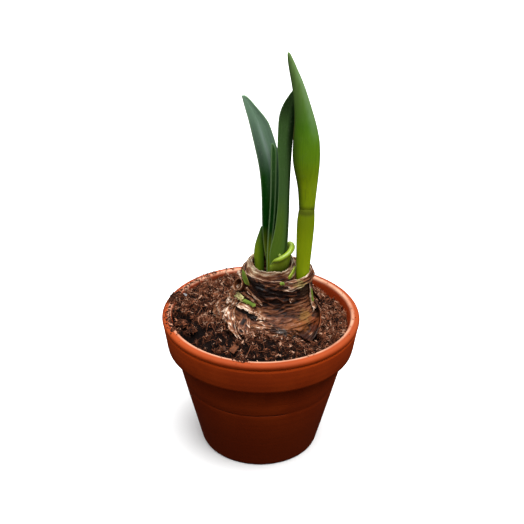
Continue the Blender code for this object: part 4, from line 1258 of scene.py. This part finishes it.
    def strew_fibres(self, settings, draw, material):
        curve = bpy.data.curves.new("soil_fibres", "CURVE")
        curve.dimensions = "3D"
        curve.bevel_depth = 1.0
        curve.bevel_resolution = 0
        curve.use_fill_caps = True

        def lay(ends, bend, rise, thickness):
            """A fibre from one end to the other, arched over the soil."""
            start_x, start_y, end_x, end_y = ends
            long_x, long_y = end_x - start_x, end_y - start_y
            spline = curve.splines.new("POLY")
            spline.points.add(6)
            for i, point in enumerate(spline.points):
                share = i / 6
                arch = math.sin(math.pi * share)
                x = start_x + long_x * share - long_y * bend * arch
                y = start_y + long_y * share + long_x * bend * arch
                reach = min(1.0, (LIP_INNER_RADIUS - 0.0012) / max(math.hypot(x, y), 1e-6))
                x, y = x * reach, y * reach
                point.co = (x, y, soil_height(x, y) - 0.0004 + rise * arch, 1.0)
                point.radius = thickness * (1.0 - 0.6 * abs(2 * share - 1))

        for x, y in self.spots(draw, settings.fibres, 0.003):
            if soil_surface(x, y)[1] < STREWN_LIGHT:
                continue
            length = 0.0040 + 0.0150 * draw.random() ** 3
            heading = draw.uniform(0, math.tau)
            reach_x, reach_y = math.cos(heading) * length / 2, math.sin(heading) * length / 2
            rise = draw.uniform(0.0004, 0.0026) * (1.0 + length / 0.02)
            ends = (x - reach_x, y - reach_y, x + reach_x, y + reach_y)
            lay(ends, draw.gauss(0, 0.2), rise, draw.uniform(0.00006, 0.00016))
        for *ends, rise in LONG_FIBRES:
            lay(ends, draw.gauss(0, 0.08), rise, 0.00028)
        fibres = bpy.data.objects.new("soil_fibres", curve)
        bpy.context.scene.collection.objects.link(fibres)
        select_only(fibres)
        bpy.ops.object.convert(target="MESH")
        fibres = bpy.context.object
        mark(fibres, "tone", lambda co: 0.62 + 0.40 * rough(co * 90))
        finish_piece(fibres, material, "soil")


def squared(share):
    """A cosine or sine that makes an oval squarer."""
    return math.copysign(abs(share) ** (2.0 / COLLAR_SQUARENESS), share)


def shoulder(height, angle):
    """How far the bulb's left shoulder stands out."""
    away = abs((math.degrees(angle) - SHOULDER_ANGLE + 180.0) % 360.0 - 180.0)
    level = smoothstep(1.0 - abs(height - SHOULDER_HEIGHT) / SHOULDER_REACH)
    return SHOULDER_BULGE * smoothstep(1.0 - away / SHOULDER_SPREAD) * level


def bulb_point(height, angle, lift=0.0):
    """A point of the bulb's outside at a height and an angle in radians."""
    return on_oval(along(BULB_LEVELS, height), angle, height, lift + shoulder(height, angle))


def fold_height(co):
    """How far the skin's folds stand out at a point. They run round the bulb, and down from the left shoulder
    to the front."""
    angle = math.atan2(co.y - BULB_AXIS.y, co.x - BULB_AXIS.x)
    degrees = math.degrees(angle) % 360.0
    drift = 0.008 * smoothstep((258 - degrees) / 50) * smoothstep((degrees - 120) / 50)
    bend = 1.4 * rough_round(angle, 1.8, 1, co.z * 60)
    folds = 0.0
    for seed, (pitch, length, share) in enumerate(((0.0027, 2.4, 0.60), (0.0015, 4.4, 0.42), (0.0008, 8.0, 0.18)), 3):
        crest = 1.0 - 2.6 * abs(rough_round(angle, length, seed, (co.z - drift) / pitch + bend))
        folds += share * (crest - 0.35)
    return folds


class AMARYLLIS_OT_bulb(Operator):
    """Grow the bulb: its folded body, then the loose sheets of its tunic"""

    bl_idname = "amaryllis.bulb"
    bl_label = "Bulb"

    def body(self, settings):
        """The folded body, with its mouth at the top."""
        sections = []
        for height in BULB_RINGS:
            x, y, width, depth = along(BULB_LEVELS, height)
            sections.append((x, y, height, width, depth))
        mouth = ((NECK_TOP, 0.0002), (NECK_TOP, 0.0012), (NECK_TOP - 0.0010, NECK_WALL), (MOUTH_FLOOR, 0.0016))
        sections += [(x, y, height, width - inset, depth - inset) for height, inset in mouth]
        body = draw_up("bulb_body", sections, 56)
        subdivide(body, 2)

        def wrinkle(co):
            out_x, out_y = co.x - x, co.y - y
            inside = co.z < NECK_TOP and (out_x / width) ** 2 + (out_y / depth) ** 2 < 0.93
            if co.z < SKIN_FROM or inside:
                return co
            angle = math.atan2(out_y, out_x)
            grow = shoulder(co.z, angle) + settings.fold * smoothstep((co.z - SKIN_FROM) / 0.003) * fold_height(co)
            moved = on_oval((co.x, co.y, grow, grow), angle, co.z)
            if co.z > NECK_TOP - 0.002:
                moved.z += 0.0009 * rough((out_x * 160, out_y * 160, 0), 6)
            return moved

        sculpt(body, wrinkle)
        mark_fibre(body)
        mark(body, "tone", self.body_tone)
        mark(body, "fold", lambda co: clamp(0.5 + 0.55 * fold_height(co)))
        mark(body, "stained", lambda co: 1.0)
        mark(body, "across", lambda co: 0.5)
        return body

    def body_tone(self, co):
        """Dark round the neck, redder and paler over the shoulders, in patches."""
        tone = 0.50 + 0.20 * rough(co * 70, 8)
        tone -= 0.40 * smoothstep((co.z - 0.1235) / 0.005) * smoothstep((0.1395 - co.z) / 0.002)
        return clamp(tone)

    def sheet(self, shape, settings, seed):
        """A loose sheet between four corners, bowed off the bulb, with torn edges and a crumpled face."""
        root_a, root_b, free_b, free_a = shape.corners
        crumpled = shape.crumple > 1.0
        pitches = ((9, 3), (20, 7)) if shape.way == ALONG else ((3, 9), (7, 20))

        def crease(across, up):
            if crumpled:
                ridge = 1.3 * (1.0 - 2.4 * abs(rough((across * 4, up * 4, seed), 5)))
                return ridge - 0.5 + 0.6 * rough((across * 10, up * 11, seed), 6)
            large, fine = ((across * a, up * b, seed) for a, b in pitches)
            return rough(large, 5) + 0.5 * rough(fine, 6)

        def place(across, up):
            torn = 1.0 + shape.torn * rough((across * 7, 0.3, seed)) * up ** 2
            out = up * torn
            width = 1.0 - shape.lens * (1.0 - math.sin(math.pi * clamp(out)))
            width *= 1.0 + 1.2 * shape.torn * rough((up * 6, 2.0 + round(across), seed))
            side = 0.5 + (across - 0.5) * width
            root = [a + (b - a) * side for a, b in zip(root_a, root_b)]
            free = [a + (b - a) * side for a, b in zip(free_a, free_b)]
            angle, height, lift = (a + (b - a) * out for a, b in zip(root, free))
            lift += shape.bow * math.sin(math.pi * min(out, 1.0)) + 0.0006 * up * (2 * across - 1) ** 2
            lift += shape.swell * math.sin(math.pi * side) * out
            crumple = shape.crumple * (1.0 - shape.fresh) * min(1.0, 5 * up)
            lift += crumple * (0.0010 * up * rough((across * 4, up * 5, seed), 4) + 0.0013 * crease(across, up))
            height += crumple * 0.0008 * rough((across * 5, up * 5, seed), 7)
            return bulb_point(height, math.radians(angle), max(lift, 0.0001))

        sheet = draw_sheet("sheet", *shape.size, place, tone=shape.tone, fresh=shape.fresh, stained=shape.stained)
        length = (place(0.5, 1.0) - place(0.5, 0.0)).length
        width = (place(1.0, 0.5) - place(0.0, 0.5)).length
        squeeze = (1.0, 0.12) if shape.way == ALONG else (0.12, 1.0)
        if crumpled:
            squeeze = (0.55, 0.30)
        across, up = ([datum.value for datum in sheet.data.attributes[key].data] for key in ("across", "up"))
        fibre, fold = [], []
        for a, u in zip(across, up):
            fibre += [a * width * squeeze[0], seed * 0.1, u * length * squeeze[1]]
            fold.append(clamp(0.5 + 0.6 * crease(a, u)))
        sheet.data.attributes.new("fibre", "FLOAT_VECTOR", "POINT").data.foreach_set("vector", fibre)
        sheet.data.attributes.new("fold", "FLOAT", "POINT").data.foreach_set("value", fold)
        thicken(sheet, settings.skin)
        return sheet

    def scraps(self, draw):
        """Small torn scraps, thickest on the left shoulder and at the foot, clear of the fresh scale and the curl."""
        rows = []
        while len(rows) < SCRAPS:
            if len(rows) < SHOULDER_SCRAPS:
                angle, height = draw.gauss(191, 9), draw.uniform(0.108, 0.134)
            elif len(rows) < SHOULDER_SCRAPS + FOOT_SCRAPS:
                angle, height = draw.gauss(250, 26), draw.uniform(0.1065, 0.1115)
            else:
                angle, height = draw.uniform(-20, 160), draw.uniform(0.109, 0.126)
            wide, tall = draw.uniform(4, 9), draw.uniform(0.0018, 0.0046)
            lean = draw.uniform(-3, 7)
            lift = draw.uniform(0.0006, 0.0028)
            corners = (
                (angle - wide / 2, height, 0.0003),
                (angle + wide / 2, height + draw.uniform(-0.002, 0.002), 0.0003),
                (angle + wide / 2 + lean, max(height - tall, SCRAPS_LOWEST), lift),
                (angle - wide / 2 + lean, max(height - tall * 0.8, SCRAPS_LOWEST), lift * draw.uniform(0.6, 1.5)),
            )
            tone = draw.uniform(0.30, 0.80 if len(rows) < SHOULDER_SCRAPS else 0.58)
            way = draw.choice((ALONG, ACROSS))
            if 206 < angle < 246 and height > 0.1135 or 194 < angle < 250 and height > 0.1275:
                continue
            rows.append(Sheet(corners, tone, way=way, bow=0.0008, torn=0.35, crumple=1.2, size=(9, 9)))
        return rows

    def rim(self, finish):
        """The cut neck's top: thin layers one inside the other, torn along their edges."""
        layers = []
        for seed, (inset, drop, tone) in enumerate(RIM_LAYERS):

            def place(across, up):
                angle = math.tau * across
                ragged = rough_round(angle, 5, seed + 1) + 0.5 * rough_round(angle, 15, seed + 2)
                wave = 0.0004 * rough_round(angle, 7, seed + 5, up * 2)
                height = RIM_FOOT + (NECK_TOP + 0.0005 - drop + 0.0010 * ragged - RIM_FOOT) * up
                return on_oval(along(BULB_LEVELS, 0.1400), angle, height, wave - inset)

            layers.append(self.ring_layer("rim_layer", place, 150, 8, lambda co: tone, 0.00032, stained=1.0))
        finish_piece(join("neck_rim", layers), finish, "tunic")

    def ring_layer(self, name, place, columns, rows, tone, thickness, stained=0.0):
        """A wall all round between place(0, up) and place(1, up), which meet. tone(point) says how pale it is."""
        layer = draw_sheet(name, columns, rows, place, fresh=0.0, stained=stained)
        layer.data.attributes["across"].data.foreach_set("value", [0.5] * len(layer.data.vertices))
        edit(layer)
        leave_edit(merge=True)
        thicken(layer, thickness)
        mark_fibre(layer)
        mark(layer, "tone", tone)
        mark(layer, "fold", lambda co: clamp(0.5 + 0.7 * rough((co.x * 150, co.y * 150, co.z * 520))))
        return layer

    def curl(self, finish):
        """A flake rolled into a tube at the left of the neck, open towards the front."""
        side = ROLL_AXIS.cross(Vector((0, 0, 1))).normalized()
        above = side.cross(ROLL_AXIS)

        def place(across, up):
            turn = math.radians(-40 + 430 * across)
            radius = (0.0038 - 0.0007 * across) * (1 - 0.3 * up) * (1 + 0.10 * rough((across * 6, up * 4, 2)))
            reach = 0.0118 * up + 0.0012 * rough((across * 6, 0, 1)) * (1 - up)
            ring = side * math.cos(turn) * radius + above * math.sin(turn) * radius * 1.35
            return ROLL_MOUTH + ROLL_AXIS * reach + ring

        tube = draw_sheet("rolled_flake", 40, 12, place, fresh=0.0, fold=0.5, stained=0.0)

        # Paler at the mouth, painted darker deeper into the tube: painted shade inside the roll.
        def tone(co):
            deep = (co - ROLL_MOUTH).dot(ROLL_AXIS)
            return 0.95 - 0.45 * smoothstep((deep - 0.0006) / 0.0012) - 0.30 * smoothstep((deep - 0.003) / 0.004)

        mark(tube, "tone", tone)
        thicken(tube, 0.0003)
        mark(tube, "fibre", lambda co: Vector((co.x, co.y * 0.3, co.z * 0.3)), "FLOAT_VECTOR")
        finish_piece(tube, finish, "tunic")

    def execute(self, context):
        settings = context.scene.amaryllis_bulb
        draw = random.Random(settings.seed)
        finish = paper_finish("papery_tunic", settings, settings.tan, settings.pale)
        finish_piece(self.body(settings), finish, "tunic", "bulb")
        for name, rows, first_seed in (("tunic_flakes", SHEETS, 0), ("tunic_scraps", self.scraps(draw), 100)):
            sheets = [self.sheet(shape, settings, seed) for seed, shape in enumerate(rows, first_seed)]
            finish_piece(join(name, sheets), finish, "tunic")
        self.rim(finish)
        self.curl(finish)
        self.collar(settings)
        return {"FINISHED"}

    def collar(self, settings):
        """The inner papery collar: thin layers, each outside and below the one before, with dark gaps between."""
        finish = paper_finish("papery_scale", settings, settings.collar_tan, settings.collar_pale)
        low = MOUTH_FLOOR + 0.0004
        layers = []
        for seed, (out, drop, pale, painted_shade_left) in enumerate(COLLAR_LAYERS):

            def place(across, up):
                angle = math.tau * across
                level = low + (COLLAR_LIP_HEIGHT - drop - low) * up
                share = smoothstep((level - COLLAR_SKIRT_HEIGHT + 0.004) / 0.011)
                x, y, width, depth = (a + (b - a) * share for a, b in zip(COLLAR_SKIRT, COLLAR_LIP))
                out_by = out - 0.0003 * rough_round(angle, 6, seed, up * 3)
                out_by -= 0.0002 * rough_round(angle, 18, seed + 9, up * 9)
                x += (width + out_by) * squared(math.cos(angle))
                y += (depth + out_by) * squared(math.sin(angle))
                top = COLLAR_LIP_HEIGHT - drop + 0.0013 * rough_round(angle, 4, seed + 3)
                top += 0.0008 * rough_round(angle, 20, seed + 5)
                return Vector((x, y, low + (top - low) * up + COLLAR_TILT * (y - COLLAR_LIP[1]) * smoothstep(up)))

            def tone(co):
                """Paler at the sides, darker in front, and painted shade at the left where the neck stands off."""
                degrees = math.degrees(math.atan2(co.y - COLLAR_LIP[1], co.x - COLLAR_LIP[0])) % 360.0
                front = smoothstep((degrees - 212) / 26) * smoothstep((330 - degrees) / 26)
                left = smoothstep((degrees - 170) / 15) * smoothstep((266 - degrees) / 15)
                return pale - 0.42 * front * smoothstep((0.1500 - co.z) / 0.006 + 0.4) - painted_shade_left * left

            layers.append(self.ring_layer("collar_layer", place, 130, 18, tone, 0.00035))
        finish_piece(join("inner_collar", layers), finish, "papery_scale", "neck_scale_inner")


class AMARYLLIS_OT_leaves(Operator):
    """Draw up the leaves and the fleshy sheaths"""

    bl_idname = "amaryllis.leaves"
    bl_label = "Leaves"

    def blade(self, name, material, slot):
        stations, turn, hollow, thickness = BLADES[name]
        blade = draw_blade(name, stations, 8, turn, hollow)
        low, high = stations[0][0], stations[-1][0]

        def across(co):
            left, right, _ = along(stations, clamp(co.z, low, high))
            return clamp((co.x - left) / max(right - left, BLADE_EDGE))

        mark(blade, "across", across)
        mark(blade, "up", lambda co: (co.z - low) / (high - low))
        thicken(blade, thickness)
        subdivide(blade, 2)
        finish_piece(blade, material, slot, name)
        blade.name = name + "_blade"

    def cup(self, settings):
        """The curled sheath: a wall round the tuft with a rolled rim."""

        def place(across, up):
            angle = math.radians(CUP_FROM + (CUP_TO - CUP_FROM) * across)
            steps = len(CUP_RIM_HEIGHTS) - 1
            i = min(int(across * steps), steps - 1)
            share = across * steps - i
            rim = CUP_RIM_HEIGHTS[i] * (1 - share) + CUP_RIM_HEIGHTS[i + 1] * share
            (radius,) = along(CUP_RADII, min(up / ROLL_FROM, 1.0))
            height = ROOTED + (rim - ROOTED) * min(up / ROLL_FROM, 1.0)
            if up > ROLL_FROM:
                roll = math.radians(230) * (up - ROLL_FROM) / (1.0 - ROLL_FROM)
                rolled = smoothstep(across / 0.30)
                radius += 0.0014 * rolled * (1 - math.cos(roll))
                height += 0.0016 * rolled * math.sin(roll)
            radius += 0.0004 * rough((across * 5, up * 5, 0), 3) * up
            return on_oval((*CUP_AXIS, radius, radius), angle, height)

        cup = draw_sheet("right_sheath", 28, 20, place)
        thicken(cup, CUP_WALL)
        subdivide(cup, 1)
        nub = start("nub", "uv_sphere", segments=16, ring_count=10, radius=0.0013, location=CUP_NUB)
        nub.scale = (0.9, 0.7, 1.5)
        settle(nub)
        mark(nub, "up", lambda co: 0.95)
        cup = join("right_sheath", [cup, nub])
        f = Finish("fresh_sheath", specular_ior_level=0.45)
        up = f.attribute("up")
        patch = f.noise(f.place(), 220.0, 4.0)
        # The wall is painted lighter towards the rim and darker low down, painted light and shade, with painted
        # glints along its wrinkles.
        f.colour = f.mix(up.step(0.45, 0.76), scaled(settings.fresh, 0.25), scaled(settings.fresh, 0.95))
        wrinkle = f.noise(f.joined(f.attribute("across") * 5, up * 26.0, 0.0), 1.0, 4.0)
        gleam = up.step(0.55, 0.80) * wrinkle.step(0.48, 0.66)
        f.paint(gleam * 0.7, (0.44, 0.55, 0.16))
        f.paint(up.step(0.88, 1.0) * patch.step(0.35, 0.6) * 0.6, scaled(settings.fresh, 0.5))
        f.paint(f.noise(f.place(), 900.0, 3.0).step(0.5, 0.75) * 0.2, scaled(settings.fresh, 0.5))
        cup_material = f.wear(base_color=f.colour, roughness=0.25 + patch * 0.15)
        finish_piece(cup, cup_material, "sheath", "leaf_sheath_right")

    def green_scale(self):
        def place(across, up):
            angle = math.radians(-44 + 34 * across)
            top = 0.1434 + 0.0046 * smoothstep(across * 1.4) - 0.0006 * across**4
            return on_oval(COLLAR_SKIRT, angle, ROOTED + (top - ROOTED) * up, 0.0010 + 0.0010 * up)

        scale = draw_sheet("fresh_scale", 10, 8, place)
        thicken(scale, SCALE_WALL)
        subdivide(scale, 1)
        f = Finish("fresh_scale", specular_ior_level=0.5)
        up = f.attribute("up")
        patch = f.noise(f.place(), 300.0, 4.0)
        f.colour = f.mix(up.step(0.3, 0.9), (0.16, 0.26, 0.012), (0.32, 0.42, 0.030))
        f.paint(patch.step(0.45, 0.7) * 0.3, (0.40, 0.46, 0.10))
        finish_piece(scale, f.wear(base_color=f.colour, roughness=0.35 + patch * 0.2), "scale_green", "green_scale")

    def execute(self, context):
        s = context.scene.amaryllis_leaves
        yellow = scaled(s.fresh, 0.6)
        foot = ((0.0, s.fresh), (0.17, yellow), (0.24, scaled(s.fresh, 0.3)))
        # Leaf at the left: its left half is painted darker than its right, painted shade where it turns from the
        # light; its top is paler and bluer, glaucous colour with a painted reflection of the sky, and a painted sheen
        # runs down its middle.
        left = (
            *foot, (0.32, s.deep), (0.50, scaled(s.deep, 1.2)), (0.59, (0.008, 0.055, 0.004)),
            (0.71, scaled(s.bluish, 0.30)), (0.85, scaled(s.bluish, 0.50)), (1.0, scaled(s.bluish, 0.70)),
        )
        right = (
            *foot, (0.30, s.deep), (0.36, (0.006, 0.060, 0.003)), (0.46, (0.026, 0.105, 0.012)),
            (0.60, (0.056, 0.150, 0.062)), (0.72, scaled(s.bluish, 0.92)), (1.0, scaled(s.bluish, 0.95)),
        )
        margin, sheen = (0.05, 0.3, 0.5, 0.0), (s.bloom, 0.44, 0.86, 0.43, 0.6)
        finish = leaf_finish("leaf_bluish", left, right, (0.12, 0.55), s.shade, margin, sheen)
        self.blade("leaf_left", finish, "leaf_bluish")

        # Middle leaf: its right half and its top are painted dark, painted shade where it turns away beside the bud.
        left = (
            (0.0, s.olive), (0.30, scaled(s.olive, 0.9)), (0.48, s.dark), (0.72, scaled(s.dark, 1.08)),
            (0.82, scaled(s.dark, 0.95)), (0.90, scaled(s.dark, 0.42)), (1.0, scaled(s.dark, 0.30)),
        )
        right = (
            (0.0, s.olive), (0.42, scaled(s.dark, 0.9)), (0.64, scaled(s.dark, 0.70)), (0.76, scaled(s.dark, 0.16)),
            (0.90, (0.001, 0.012, 0.001)),
        )
        finish = leaf_finish("leaf_dark", left, right, (0.50, 0.85), s.shade, (0.035, 0.4, 0.1, 0.65))
        self.blade("leaf_middle", finish, "leaf_dark")

        both = (
            (0.0, s.fresh), (0.18, s.fresh), (0.26, yellow), (0.38, s.deep), (0.56, scaled(s.deep, 0.9)),
            (0.72, scaled(s.young, 0.5)), (1.0, s.young),
        )
        finish = leaf_finish("leaf_young", both, both, (0.3, 0.8), s.shade, (0.14, 0.55, 0.35, 0.0))
        self.blade("leaf_inner", finish, "leaf_young")

        # Left sheath: its right half is painted dark, the painted shadow of the leaf over it.
        left = ((0.0, s.fresh), (0.55, scaled(s.fresh, 0.95)), (0.8, (0.11, 0.20, 0.02)), (1.0, (0.05, 0.12, 0.035)))
        right = ((0.0, scaled(s.fresh, 0.35)), (0.6, (0.06, 0.14, 0.004)), (1.0, (0.03, 0.09, 0.015)))
        margin = (0.10, 0.5, 0.0, 0.5)
        finish = leaf_finish("sheath_left", left, right, (0.15, 0.85), (0.02, 0.07, 0.01), margin)
        self.blade("leaf_sheath_left", finish, "sheath")
        self.cup(s)
        self.green_scale()
        return {"FINISHED"}


class AMARYLLIS_OT_bud(Operator):
    """Draw up the flower stalk and the closed bud on it"""

    bl_idname = "amaryllis.bud"
    bl_label = "Stalk and bud"

    def execute(self, context):
        s = context.scene.amaryllis_bud
        sections = [(x, y, z, r, r) for z, x, r, y in STALK]
        _, x, r, y = STALK[-1]
        sections += [(x, y, z, r - inset, r - inset) for z, inset in STALK_TOP]
        stalk = draw_up("stalk", sections, 24)
        subdivide(stalk, 2)
        finish_piece(stalk, stalk_finish(s), "stalk", "flower_stalk")

        _, x, r, y = BUD[0]
        sections = [(x, y, z, r - inset, (r - inset) * BUD_FLATNESS) for z, inset in BUD_FOOT]
        sections += [(x, y, z, r, r * BUD_FLATNESS) for z, x, r, y in BUD]
        bud = draw_up("bud", sections, 28)
        subdivide(bud, 2)

        def side(co):
            """From -1 at the bud's left seam to 1 at its right seam."""
            centre, radius, _ = along(BUD, clamp(co.z, BUD[0][0], BUD[-1][0]))
            return clamp((co.x - centre) / max(radius, THINNEST), -1.0)

        mark(bud, "side", side)
        finish_piece(bud, bud_finish(s), "bud", "flower_bud")
        return {"FINISHED"}


class AMARYLLIS_OT_stage(Operator):
    """Set the pale floor, the soft lights and the camera"""

    bl_idname = "amaryllis.stage"
    bl_label = "Stage"

    def key(self, settings):
        """A wide soft light from far off, so the floor is lit evenly."""
        data = bpy.data.lights.new("key", "SUN")
        data.energy = settings.key_power
        data.angle = settings.key_spread
        lamp = bpy.data.objects.new("key", data)
        lamp.rotation_euler = Vector(settings.key_from).to_track_quat("Z", "Y").to_euler()
        bpy.context.scene.collection.objects.link(lamp)

    def studio(self, settings):
        """A tent of light: brightest overhead, dimmer to the sides, and dark below the floor."""
        world = bpy.data.worlds.new("studio")
        world.use_nodes = True
        nodes = Nodes(world.node_tree)
        height = nodes.node("SeparateXYZ", {}, {0: nodes.node("TexCoord", {}, {}, "Generated")}, "Z")
        below, side, above = ((level,) * 3 for level in (settings.below, settings.side, settings.above))
        light = (height * 0.5 + 0.5).ramp((0.0, below), (0.49, below), (0.51, side), (1.0, above))
        seen = nodes.node("LightPath", {}, {}, "Is Camera Ray")
        nodes.put(nodes.tree.nodes["Background"].inputs["Color"], nodes.mix(seen, light, (BACKGROUND,) * 3))
        return world

    def execute(self, context):
        s = context.scene.amaryllis_stage
        floor = start("floor", "circle", vertices=96, radius=STAGE_RADIUS, fill_type="NGON", location=(0, 0, -0.0002))
        settle(floor)
        f = Finish("floor", base_color=s.floor, roughness=0.85, specular_ior_level=0.1)
        floor.data.materials.append(f.material)
        floor.visible_diffuse = False
        floor.visible_glossy = False

        self.key(s)
        context.scene.world = self.studio(s)
        context.scene.view_settings.view_transform = "Standard"

        camera = bpy.data.objects.new("camera", bpy.data.cameras.new("camera"))
        camera.data.lens = s.lens
        camera.data.sensor_width = 36.0
        camera.data.clip_start = 0.01
        ahead = Vector((0.0, math.cos(s.pitch), -math.sin(s.pitch)))
        up = Vector((0.0, math.sin(s.pitch), math.cos(s.pitch)))
        right = Vector((1.0, 0.0, 0.0))
        rolled_right = right * math.cos(s.roll) + up * math.sin(s.roll)
        rolled_up = up * math.cos(s.roll) - right * math.sin(s.roll)
        turn = Matrix((rolled_right, rolled_up, -ahead)).transposed().to_4x4()
        camera.matrix_world = Matrix.Translation(CAMERA_TARGET - ahead * s.distance) @ turn
        context.scene.collection.objects.link(camera)
        context.scene.camera = camera
        return {"FINISHED"}


class AMARYLLIS_PT_panel(Panel):
    """Buttons and settings of the potted amaryllis"""

    bl_label = "Amaryllis"
    bl_idname = "AMARYLLIS_PT_panel"
    bl_space_type = "VIEW_3D"
    bl_region_type = "UI"
    bl_category = "Amaryllis"

    def draw(self, context):
        for name in STEPS:
            box = self.layout.box()
            box.operator("amaryllis." + name)
            settings = getattr(context.scene, "amaryllis_" + name)
            for key in type(settings).__annotations__:
                box.prop(settings, key)


STEPS = {
    "pot": (PotSettings, AMARYLLIS_OT_pot),
    "soil": (SoilSettings, AMARYLLIS_OT_soil),
    "bulb": (BulbSettings, AMARYLLIS_OT_bulb),
    "leaves": (LeafSettings, AMARYLLIS_OT_leaves),
    "bud": (BudSettings, AMARYLLIS_OT_bud),
    "stage": (StageSettings, AMARYLLIS_OT_stage),
}
CLASSES = (*(made for step in STEPS.values() for made in step), AMARYLLIS_PT_panel)


def register():
    for made in CLASSES:
        bpy.utils.register_class(made)
    for name, (group, _) in STEPS.items():
        setattr(bpy.types.Scene, "amaryllis_" + name, PointerProperty(type=group))


def unregister():
    for name in STEPS:
        delattr(bpy.types.Scene, "amaryllis_" + name)
    for made in reversed(CLASSES):
        bpy.utils.unregister_class(made)


def main():
    register()
    bpy.ops.amaryllis.pot()
    bpy.ops.amaryllis.soil()
    bpy.ops.amaryllis.bulb()
    bpy.ops.amaryllis.leaves()
    bpy.ops.amaryllis.bud()
    bpy.ops.amaryllis.stage()


if __name__ == "__main__":
    main()
